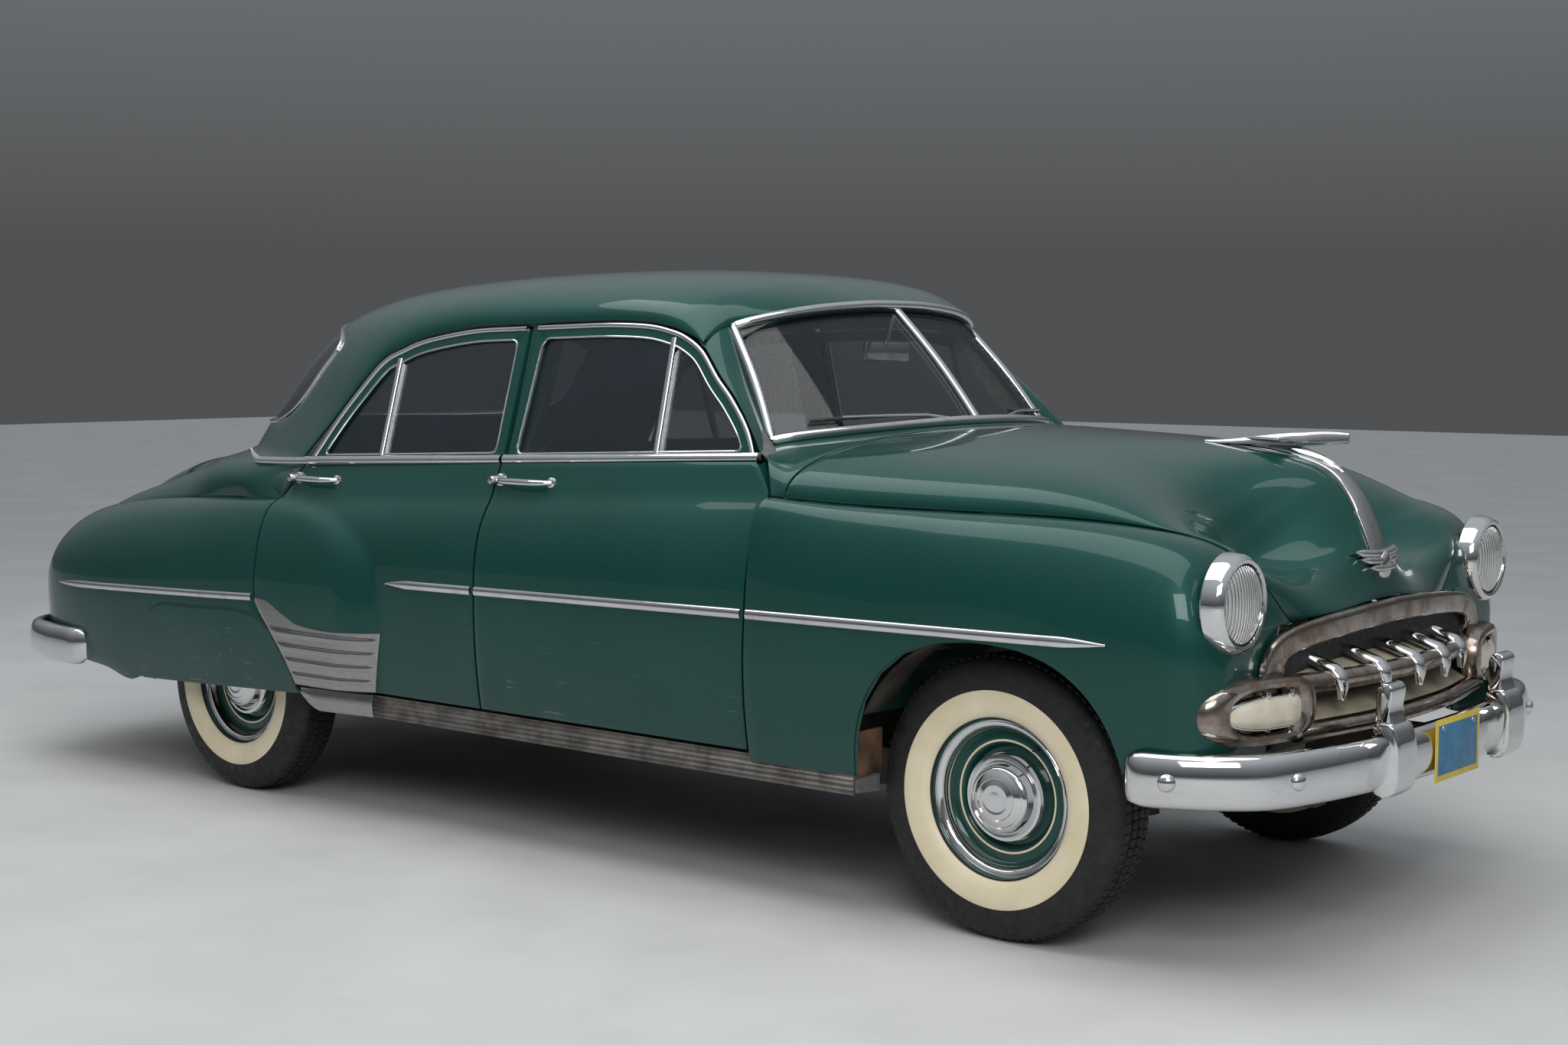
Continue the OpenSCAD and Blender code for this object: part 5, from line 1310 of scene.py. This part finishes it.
grille.panel([[(bar_x(w) - 8 - 100 * v, w, 668 + 26 * v) for w in across] for v in inwards], SPLASH, 4.0)
grille.panel([[(nose(w) - 24 - 90 * v, w, 556 + 44 * v) for w in across] for v in inwards], SPLASH, 4.0)
# dark sheet across the back of the grille opening: painted shade standing in for the dark space behind the
# bars
across = np.linspace(-548, 548, 41)
grille.panel([[(FX + 593, w, 500 + (read(GRILLE, 1, abs(w)) - 500) * v) for w in across]
              for v in np.linspace(0, 1, 12)], GASKET, 4.0)
print("grille bars")

# %% lamp housings at the ends of the grille
# bowl of a housing from its floor to its rim: size, depth
HOUSING = ((0.0, 40), (0.6, 40), (0.62, 14), (0.68, 4), (0.8, 0), (0.93, 6), (1.0, 24), (1.0, 46))
for way in SIDES.values():
    rings = []
    for grow, depth in HOUSING:
        ring = []
        for a in circle(72):
            long, power = (184, 0.8) if math.cos(a) > 0 else (176, 0.45)
            w = 636 + long * grow * bent(math.cos(a), power)
            ring.append((nose(w) - 2 - depth, -way * w, 612 + 80 * grow * bent(math.sin(a), 0.8)))
        rings.append(ring)
    grille.loft(rings, AGED)
    for z in (566, 636):
        for w in (560, 640):
            grille.block((nose(w) - 34, -way * w, z), (nose(w) - 6, -way * w + 8, z + 22), TRIM, 1.0)
grille.done("grille_bars", "car", "chrome", "grille")
print("grille")

# %% lamps
# bezel and lens of a parking lamp: finish, size, then share of the outline and height of each ring
PARKING = ((TRIM, 1.12, ((1.0, -34), (1.0, 0), (0.93, 5), (0.8, 5), (0.02, 5))),
           (CREAM_LENS, 1.0, ((1.0, -30), (1.0, 4), (0.9, 12), (0.6, 17), (0.25, 20), (0.02, 20))))
HEADLAMP = (566, 708, 861)
RING = [[91, 30], [94, 40], [101, 42], [109, 36], [115, 25], [118, 8], [118, -8], [112, -14], [91, -14]]
for side, way in SIDES.items():
    lamp = Shape()
    for finish, size, steps in PARKING:
        rings = []
        for grow, out in steps:
            ring = []
            for a in circle(60):
                c, s = math.cos(a), math.sin(a)
                pointed, high = (1.15, 0.9) if c > 0 else (0.3, 0.5)
                w = 640 + 122 * grow * size * bent(c, pointed)
                ring.append((nose(w) - 16 + out * 0.8, -way * w, 608 + 36 * grow * size * bent(s, high)))
            rings.append(ring)
        lamp.loft(rings, finish)
    lamp.done("parking_lens_" + side, "car", "lamp_clear", "parking_lamp_" + side)
    lamp = Shape()
    c = (FX + HEADLAMP[0], -way * HEADLAMP[1], HEADLAMP[2])
    lamp.spin(c, (1, 0, 0), RING, CHROME, 96, closed=True)
    lamp.spin(c, (1, 0, 0), [[0, 10], [92, 10], [92, 34], [86, 37], [84, 34], [0, 30]], GASKET, 72)
    lamp.spin(c, (1, 0, 0), [[0, 20], [88, 20], [88, 36], [76, 43], [52, 50], [26, 54], [0, 55]], LENS, 72)
    lamp.done("headlamp_glass_" + side, "car", "lamp_clear", "headlamp_" + side)
    lamp = Shape()
    low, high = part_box("tail_lamp_" + side)
    c = (high.x / MM, (low.y + high.y) / 2 / MM, (low.z + high.z) / 2 / MM)
    lamp.spin(c, (-1, 0, 0), [[0, 1], [37, 1], [38, 9], [33, 12], [30, 10], [30, 2], [0, 2]], CHROME, 48)
    lamp.spin(c, (-1, 0, 0), [[0, 3], [30, 3], [30, 12], [24, 20], [12, 24], [0, 25]], RED_LENS, 48)
    lamp.done("tail_lens_" + side, "car", "lamp_red", "tail_lamp_" + side)
print("lamps")

# %% bumpers
TIP = FX + 815
BAR_HEIGHT = 470
BAR_SECTION = oval_section(40, 64, 24, 0.55)
# a guard's post and its wider foot seen from the side, from the bumper's tip, and half their widths
POST = [[-46, 392], [2, 392], [13, 432], [13, 500], [2, 560], [-12, 590], [-12, 622], [0, 645], [-8, 664],
        [-46, 662]]
FOOT = [[-46, 400], [8, 400], [20, 440], [20, 520], [4, 570], [-46, 570]]
GUARDS = ((POST, 39), (FOOT, 54))


def both_sides(half):
    """A line from the middle outwards, with its mirror image before it."""
    return [(x, -w, z) for x, w, z in half[:0:-1]] + half


def front_tip(w):
    """Front of the bumper at a half width."""
    return TIP - read(BUMPER_FRONT, 1, w)


front = Shape()
widths = np.concatenate([np.linspace(0, 700, 40), np.linspace(704, 911, 70)])
sweep(front, both_sides([(front_tip(w), w, BAR_HEIGHT) for w in widths]), BAR_SECTION, CHROME, 60)
for way in SIDES.values():
    front.block((FX + 651, way * 370, 420), (FX + 777, way * 428, 436), BLACK)
    for outline, wide in GUARDS:
        loop = resample(outline + outline[:1], 0, 61)[:-1]
        loop = sum(np.roll(loop, n, 0) for n in range(-2, 3)) / 5
        core = loop.mean(0)
        rings = []
        for u in np.linspace(-1, 1, 13):
            s = 0.8 + 0.2 * (1 - abs(u) ** 4) ** 0.5
            y = way * 333 + wide * math.sin(u * math.pi / 2)
            slim = core + (loop - core) * (s, 0.93 + 0.07 * s)
            rings.append([(TIP + 1 + q[0], y, q[1]) for q in slim])
        front.loft(rings, CHROME)
    for w in (680, 884):
        slope = (front_tip(w - 5) - front_tip(w + 5)) / 10
        out = Vector((1, -way * slope, 0)).normalized()
        bolt = Vector((front_tip(w), -way * w, BAR_HEIGHT)) - out * 2
        front.spin(bolt, out, [[0, 0], [21, 0], [20, 6], [14, 12], [0, 15]], CHROME, 36)
front.done("front_bumper", "car", "chrome", "bumper_front")
rear = Shape()
rear_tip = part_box("bumper_rear")[0].x / MM
widths = np.concatenate([np.linspace(0, 760, 36), np.linspace(764, 930, 50), np.linspace(931, 947.5, 34)])
half = [(rear_tip + read(BUMPER_REAR, 1, w), w, 411) for w in widths]
sweep(rear, both_sides(half)[::-1], BAR_SECTION, CHROME, 60)
for way in SIDES.values():
    rear.block((rear_tip + 22, way * 370, 405), (RX - 1110.5, way * 428, 421), BLACK)
rear.done("rear_bumper", "car", "chrome", "bumper_rear")
sign = Shape()
sign.block((TIP + 0.2, -132, 394), (TIP + 2.4, 132, 546), YELLOW, 0.8)
sign.block((TIP + 0.6, -117, 409), (TIP + 3.0, 117, 531), BLUE, 0.6)
for y in (-89, 89):
    sign.spin((TIP + 2, y, 522), (1, 0, 0), [[0, 0], [8, 0], [7, 3], [0, 4.5]], STEEL, 24)
sign.done("blank_plate", "car", "plate_paint", "plate")
print("bumpers")

# %% [markdown]
# ## Hood jewellery
#
# A broad strip runs down the middle of the hood to a plain badge of three feathers and a shield, and a
# long arrow-like ornament with two short wings stands on it.


# %% ornament and strip
def on_ridge(row):
    """Point on the middle line of the hood."""
    return hood_point(row, 0.0001)


trim = Shape()
line = np.array([on_ridge(f) for f in np.linspace(3.6, 9.2, 60)])
tilt = np.gradient(line, axis=0)
out = np.stack([-tilt[:, 2], tilt[:, 1] * 0, tilt[:, 0]], 1)
trim.strip(line, out, 86, 9, STRIP, tips=(420, 0), sink=8, power=0.8)
foot = np.array([on_ridge(f) for f in np.linspace(4.1, 6.2, 30)])
trim.strip(foot, (0.35, 0, 0.94), 44, 24, TRIM, tips=(90, 60), sink=6)
for row, reach, width in ((9.0, 118, 21), (9.18, 104, 20), (9.36, 78, 19)):
    x, _, z = on_ridge(row)
    feather = [(x + 9 - 0.0013 * y * y, y, z + 0.0006 * y * y) for y in np.linspace(-reach, reach, 41)]
    trim.strip(feather, (1, 0, 0.25), width, 9, BADGE, tips=(30, 30), sink=14)
shield = Vector(on_ridge(9.3))
rings = []
for u in np.linspace(-1, 1, 17):
    size = (1 - abs(u) ** 2.5) ** 0.5 + 0.02
    deep, wide = 13 * size, 30 * size * (1 - 0.25 * u)
    rings.append([(shield.x + 6 + deep * math.cos(a), wide * math.sin(a), shield.z + 38 * u)
                  for a in circle(24)])
trim.loft(rings, BADGE)
trim.done("hood_strip", "hood", "chrome")
bird = Shape()
rings = []
for u in np.linspace(0, 1, 40):
    x = FX + 112 + 402 * u
    half = 5 + 15 * math.sin(math.pi * u ** 0.8) ** 0.8 * (1 - 0.5 * u)
    rise = 8 + 26 * math.sin(math.pi * u ** 1.4 * 0.82)
    base = 1189 + 12 * max(0, u - 0.7) / 0.3
    rings.append([(x, half * math.cos(a), base + rise * max(0, math.sin(a)) - 3 * max(0, -math.sin(a)))
                  for a in circle(20)])
bird.loft(rings, TRIM)
for way in (-1, 1):
    rings = []
    for u in np.linspace(0, 1, 14):
        x, y = FX + 290 + 80 * u, way * (10 + 58 * u)
        long = 58 - 40 * u
        rings.append([(x + long * math.cos(a), y, 1204 + 5 * math.sin(a)) for a in circle(14)])
    bird.loft(rings, TRIM)
bird.done("hood_bird", "hood", "chrome", "hood_ornament")
print("hood strip, badge and ornament")

# %% [markdown]
# ## Wheels and tyres
#
# A wheel is turned like a bowl on a lathe: one profile, with a finish for each band of it. The tread is a
# ring of rubber blocks made with Geometry Nodes: points on a circle, one block copied to each point and
# turned with it, then realised as plain mesh.


# %% tread blocks with geometry nodes
NODES = {"in": "NodeGroupInput", "out": "NodeGroupOutput", "circle": "GeometryNodeMeshCircle",
         "stand": "GeometryNodeTransform", "index": "GeometryNodeInputIndex",
         "item": "GeometryNodeObjectInfo", "copy": "GeometryNodeInstanceOnPoints",
         "real": "GeometryNodeRealizeInstances", "coat": "GeometryNodeSetMaterial",
         "share": "ShaderNodeMath", "angle": "ShaderNodeMath", "turn": "ShaderNodeCombineXYZ",
         "shift": "ShaderNodeCombineXYZ"}
# from node and output to node and input
LINKS = (("in", "Count", "circle", "Vertices"), ("in", "Radius", "circle", "Radius"),
         ("in", "Offset", "shift", "Y"), ("shift", 0, "stand", "Translation"),
         ("circle", "Mesh", "stand", "Geometry"), ("index", 0, "share", 0), ("in", "Count", "share", 1),
         ("share", 0, "angle", 0), ("angle", 0, "turn", "Y"), ("stand", 0, "copy", "Points"),
         ("item", "Geometry", "copy", "Instance"), ("turn", 0, "copy", "Rotation"), ("copy", 0, "real", 0),
         ("real", 0, "coat", "Geometry"), ("coat", 0, "out", 0))


def ring_tree(item, finish):
    """Node tree that copies an object round a circle; also gives the identifiers of its inputs."""
    tree = bpy.data.node_groups.new("ring_of_blocks", "GeometryNodeTree")
    tree.interface.new_socket("Geometry", in_out="OUTPUT", socket_type="NodeSocketGeometry")
    keys = []
    for name, kind in (("Count", "Int"), ("Radius", "Float"), ("Offset", "Float")):
        socket = tree.interface.new_socket(name, in_out="INPUT", socket_type="NodeSocket" + kind)
        keys.append(socket.identifier)
    made = {key: tree.nodes.new(kind) for key, kind in NODES.items()}
    made["stand"].inputs["Rotation"].default_value = (math.pi / 2, 0, 0)
    made["item"].inputs["Object"].default_value = item
    made["item"].inputs["As Instance"].default_value = True
    made["share"].operation = "DIVIDE"
    made["angle"].operation = "MULTIPLY"
    made["angle"].inputs[1].default_value = -2 * math.pi
    made["coat"].inputs["Material"].default_value = finish
    for source, output, target, socket in LINKS:
        tree.links.new(made[source].outputs[output], made[target].inputs[socket])
    return tree, keys


def ring_of_blocks(group, keys, values):
    """One ring of blocks as plain mesh; values are its count, radius and offset."""
    obj = bpy.data.objects.new("ring", bpy.data.meshes.new("ring"))
    bpy.context.scene.collection.objects.link(obj)
    blocks = obj.modifiers.new("blocks", "NODES")
    blocks.node_group = group
    for key, value in zip(keys, values):
        blocks[key] = value
    return plain_mesh(obj)


def block_object(name, size):
    """One tread block at the origin, to be copied."""
    shape = Shape()
    shape.block([-s / 2 for s in size], [s / 2 for s in size], RUBBER, 1.2)
    mesh = bpy.data.meshes.new(name)
    shape.mesh.to_mesh(mesh)
    shape.mesh.free()
    obj = bpy.data.objects.new(name, mesh)
    bpy.context.scene.collection.objects.link(obj)
    return obj


middle_block = block_object("middle_block", (9, 20, 20))
edge_block = block_object("edge_block", (10, 22, 15))
middle_rings = ring_tree(middle_block, RUBBER)
edge_rings = ring_tree(edge_block, RUBBER)
print("two rings of tread blocks")

# %% wheels
# profiles: radius, height out from the wheel's middle plane
TYRE = [[196, -60], [199, -70], [206, -78], [222, -83], [245, -86], [262, -86.5], [266, -85.5], [285, -84],
        [306, -79], [324, -72], [336, -63], [343, -54], [345, -40], [346, 0]]
WALL = [GASKET] + [WHITEWALL] * 5
WHEEL = [[20, 5], [120, 6], [128, 22], [135, 26], [140, 26.5], [147, 26], [160, 24], [168, 30], [172, 40],
         [173, 48], [179, 55], [186, 57], [190, 54], [191, 58], [195.5, 62], [196.5, 61], [196.5, -60],
         [186, -60], [170, -20], [120, -14], [20, -14]]
BANDS = [WHEEL_PAINT] * 3 + [WHITEWALL] + [WHEEL_PAINT] * 3 + [TRIM] * 6 + [WHEEL_PAINT]
CAP = [[0, 6], [104, 6], [108, 28], [110, 36], [106, 43], [99, 44], [95, 40], [91, 39], [87, 44], [82, 60],
       [76, 70], [71, 72], [69, 70.5], [60, 76], [52, 79], [50, 77.5], [36, 81.5], [34, 80.5], [18, 83],
       [0, 84]]
# tread: blocks, how many, radius, offset from the middle
TREAD = ((middle_rings, 96, 345.5, -13), (middle_rings, 96, 345.5, 13), (edge_rings, 88, 342.5, -40),
         (edge_rings, 88, 342.5, 40))
for name, centre in WHEELS.items():
    out = -1 if name.endswith("right") else 1
    wheel = Shape()
    wheel.spin(centre, (0, out, 0), WHEEL, BANDS, 96, closed=True)
    wheel.spin(centre, (0, out, 0), CAP, CHROME, 80)
    wheel.spin(centre, (0, out, 0), [[0, -34], [70, -34], [92, 4], [0, 4]], BLACK, 48)
    stem = Vector(centre) + Vector((math.sin(0.6) * 152, out * 24, math.cos(0.6) * 152))
    wheel.spin(stem, (0, out, 0), [[0, 0], [4, 0], [4, 22], [2.5, 26], [0, 26]], GASKET, 12)
    wheel.done("wheel_" + name + "_disc", "wheel_" + name, "wheel_paint", "wheel_" + name)
    tyre = Shape()
    half = [[r, -h] for r, h in TYRE]
    profile = half + [[r, -h] for r, h in half[-2::-1]]
    finishes = WALL + [RUBBER] * (2 * len(TYRE) - 1 - 2 * len(WALL)) + WALL[::-1]
    tyre.spin(centre, (0, out, 0), profile, finishes, 120, closed=True)
    for (group, keys), count, radius, offset in TREAD:
        mesh = ring_of_blocks(group, keys, (count, radius * MM, offset * MM))
        mesh.transform(Matrix.Translation(Vector(centre) * MM))
        tyre.take(mesh, RUBBER)
    tyre.done("tyre_" + name + "_rubber", "wheel_" + name, "tyre", "tyre_" + name)
for obj in (middle_block, edge_block):
    bpy.data.objects.remove(obj)
print("four wheels")

# %% [markdown]
# ## Cabin
#
# Benches are crowned pads whose front is fuller than their back, with sewn pleats across them. The
# steering wheel is a thin dark ring on three spokes, with an ivory knob on the rim for quick turning.


# %% benches
def bench(profile, half, finish, name, node):
    """Padded bench: an outline seen from the side, rounded towards its ends, with pleats across it."""
    loop = resample(profile + profile[:1], 0, 141)[:-1]
    loop = sum(np.roll(loop, n, 0) for n in range(-3, 4)) / 7
    core = loop.mean(0)
    normal = np.roll(loop, -1, 0) - np.roll(loop, 1, 0)
    normal = np.stack([normal[:, 1], -normal[:, 0]], 1) / np.linalg.norm(normal, axis=1, keepdims=True)
    if ((loop - core) * normal).sum() < 0:
        normal = -normal
    rings = []
    for u in np.linspace(-1, 1, 121):
        soft = (1 - abs(u) ** 10) ** 0.5
        pleat = 5 * abs(math.cos(u * half / 80 * math.pi)) ** 0.5 * (abs(u) < 0.93)
        swell = -8 + pleat - 22 * (1 - soft)
        rings.append([(p[0], half * u, p[1]) for p in loop + normal * swell])
    seat = Shape()
    seat.loft(rings, finish)
    obj = seat.done(name, "car", "seat_cloth", node)
    return obj


# the front bench wears the paler copy of the seat cloth, painted light
bench([[FX - 1180, 441], [FX - 1160, 690], [FX - 1260, 712], [FX - 1640, 645], [FX - 1800, 1058],
       [FX - 1880, 1058], [FX - 1760, 441]], 636, LIT_CLOTH, "front_bench", "seat_front")
bench([[RX + 650, 543], [RX + 650, 690], [RX + 560, 705], [RX + 180, 652], [RX + 20, 1010],
       [RX - 55, 1018], [RX + 40, 543]], 582, CLOTH, "rear_bench", "seat_rear")
print("two benches")

# %% dash
low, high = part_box("dash")
dash = Shape()
x0, x1 = low.x / MM, high.x / MM
dash.block((x0 + 40, -640, 937), (x1, 640, 1070), DASH_PAINT, 14)
dash.tube([(x0 + 26, y, 1052) for y in np.linspace(-636, 636, 30)], 20, DASH_PAINT, 16)
dash.block((x0 + 24, -560, 985), (x0 + 44, 560, 1012), TRIM, 4)
dial = [[0, 0], [46, 0], [46, 14], [38, 18], [36, 12], [0, 12]]
for y in (-420, 250, 490):
    dash.spin((x0 + 42, y, 1000), (-1, 0, 0), dial, TRIM, 40)
dash.done("dash_panel", "car", "dash_paint", "dash")
print("dash")

# %% steering wheel
HUB = Vector((FX - 1050, 370, 990))
DOWN = Vector((math.sin(math.radians(115)), 0, math.cos(math.radians(115))))
RIM = 211
ring_centre = HUB - DOWN * 70
side_a = Vector((0, 1, 0))
side_b = DOWN.cross(side_a)


def spoke(a):
    """Direction from the hub at an angle."""
    return side_a * math.cos(a) + side_b * math.sin(a)


wheel = Shape()
wheel.tube([ring_centre + spoke(a) * RIM for a in circle(80)], 10, PLASTIC, 14, closed=True, hint=DOWN)
wheel.spin(HUB - DOWN * 78, DOWN, [[0, 0], [24, 0], [30, 8], [30, 60], [24, 77], [0, 77]], PLASTIC, 40)
wheel.spin(HUB - DOWN * 84, DOWN, [[0, 0], [20, 2], [22, 8], [0, 8]], TRIM, 32)
horn = [ring_centre + spoke(a) * 150 + DOWN * 4 for a in circle(60)]
wheel.tube(horn, 4, TRIM, 8, closed=True, hint=DOWN)
for a in (math.pi / 2, math.pi * 7 / 6, math.pi * 11 / 6):
    arm = [ring_centre + DOWN * (6 - 6 * u) + spoke(a) * (20 + 188 * u) for u in np.linspace(0, 1, 8)]
    wheel.tube(arm, 6.5, PLASTIC, 10, hint=DOWN)
knob = [[0, 4], [7, 6], [7, 16], [17, 22], [22, 34], [19, 46], [10, 53], [0, 55]]
wheel.spin(ring_centre + spoke(-2.2) * RIM, -DOWN, knob, IVORY, 28)
wheel.done("steering_ring", "steering_wheel", "wheel_plastic", "steering_wheel")
print("steering wheel")

# %% mirror and wipers
small = Shape()
stalk = [(FX - 905 - 36 * u, 10 * u, 1530 - 96 * u) for u in np.linspace(0, 1, 8)]
small.tube(stalk, 5, TRIM, 10, hint=(0, 1, 0))
small.block((FX - 956, -85, 1391), (FX - 940, 127, 1449), TRIM, 6)
small.block((FX - 958, -80, 1396), (FX - 954, 122, 1444), MIRROR, 1.5)
WIPER = (1.2, 4.6)
pivot = [[0, 0], [13, 0], [12, 14], [6, 20], [0, 20]]
for way in (-1, 1):
    k0, k1 = WIPER
    foot = screen_point(way * k0, 0.02) + (12, 0, 6)
    small.spin(foot - np.array((4, 0, 14)), (0.5, 0, 0.85), pivot, TRIM, 24)
    arm = [foot + (8, 0, 6)]
    for k in np.linspace(k0 + 0.6, k1 - 0.7, 14):
        arm.append(screen_point(way * k, 0.05 + 0.02 * (k - k0)) + (20, 0, 10))
    small.tube(arm, 3.6, TRIM, 8)
    blade = []
    for k in np.linspace(k0 + 0.4, k1, 24):
        blade.append(screen_point(way * k, 0.075 + 0.012 * (k - k0)) + (9, 0, 5))
    small.tube(blade, 5, GASKET, 8)
small.done("mirror_and_wipers", "car", "chrome")
print("mirror and wipers")

# %% [markdown]
# ## Parts that keep their own shape
#
# The frame, floor, axles and engine are right as they are in the part, and only get a finish.

# %% finishes for the shown parts
KEEP = {"frame": BLACK, "floor": BLACK, "steering_column": PLASTIC, "engine": IRON, "exhaust": RUSTY,
        "fuel_tank": BLACK, "front_suspension": BLACK, "knuckle_right": IRON, "knuckle_left": IRON,
        "rear_axle": BLACK}
for node, finish in KEEP.items():
    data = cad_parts[node].data
    data.materials.clear()
    data.materials.append(finish)
print(len(KEEP), "parts keep their shape")

# %% [markdown]
# ## Studio
#
# A pale floor, a large soft light above, a broad one from the camera's side and a surround that is dim at
# the horizon and pale above, so that chrome and paint have something dark to mirror. The camera stands
# where the photographer stood: its place, turn and lens were fitted to the photograph.

# %% floor and light
stage = simple("pale_floor", (0.52, 0.52, 0.515), (0.56, 0.56, 0.555), 1.5, 0.7)
bpy.ops.mesh.primitive_plane_add(size=60, location=(0, 0, 0))
floor = bpy.context.object
floor.name = "studio_floor"
floor.data.materials.append(stage)
world = bpy.data.worlds.new("studio")
bpy.context.scene.world = world
world.use_nodes = True
tree = world.node_tree
coords = add(tree, "ShaderNodeTexCoord").outputs["Generated"]
height = add(tree, "ShaderNodeSeparateXYZ", Vector=coords).outputs[2]
sky = mix(tree, span(tree, height, 0.04, 0.75), rgb(0.13, 0.135, 0.14), rgb(0.82, 0.87, 0.92))
tree.links.new(sky, tree.nodes["Background"].inputs["Color"])
tree.nodes["Background"].inputs["Strength"].default_value = 0.6


def soft_light(name, at, target, size, power):
    """Rectangular lamp at a place, turned to a target."""
    light = bpy.data.lights.new(name, "AREA")
    light.shape = "RECTANGLE"
    light.size, light.size_y = size
    light.energy = power
    obj = bpy.data.objects.new(name, light)
    bpy.context.scene.collection.objects.link(obj)
    obj.location = at
    obj.rotation_euler = (Vector(target) - Vector(at)).to_track_quat("-Z", "Y").to_euler()


soft_light("overhead", (0.3, -1.6, 6.0), (0.3, 0, 0), (9.0, 4.5), 260)
soft_light("key", (6.5, -6.5, 5.4), (0.8, 0, 0.5), (4.5, 3.2), 330)
print("floor, surround and two lamps")

# %% camera
EYE = (4.63863, -5.21847, 1.44671)
YAW, PITCH, ROLL = 2.25767825, -0.08055086, 0.00272996
view = Vector((math.cos(PITCH) * math.cos(YAW), math.cos(PITCH) * math.sin(YAW), math.sin(PITCH)))
right = Vector((math.sin(YAW), -math.cos(YAW), 0))
up = right.cross(view)
right, up = right * math.cos(ROLL) + up * math.sin(ROLL), up * math.cos(ROLL) - right * math.sin(ROLL)
camera = bpy.data.cameras.new("camera")
camera.sensor_fit = "HORIZONTAL"
camera.sensor_width = 36.0
camera.lens = 51.288
eye = bpy.data.objects.new("camera", camera)
bpy.context.scene.collection.objects.link(eye)
eye.matrix_world = Matrix([(right[i], up[i], -view[i], EYE[i]) for i in range(3)] + [(0, 0, 0, 1)])
bpy.context.scene.camera = eye
bpy.context.scene.view_settings.view_transform = "Standard"
print("camera at", EYE)
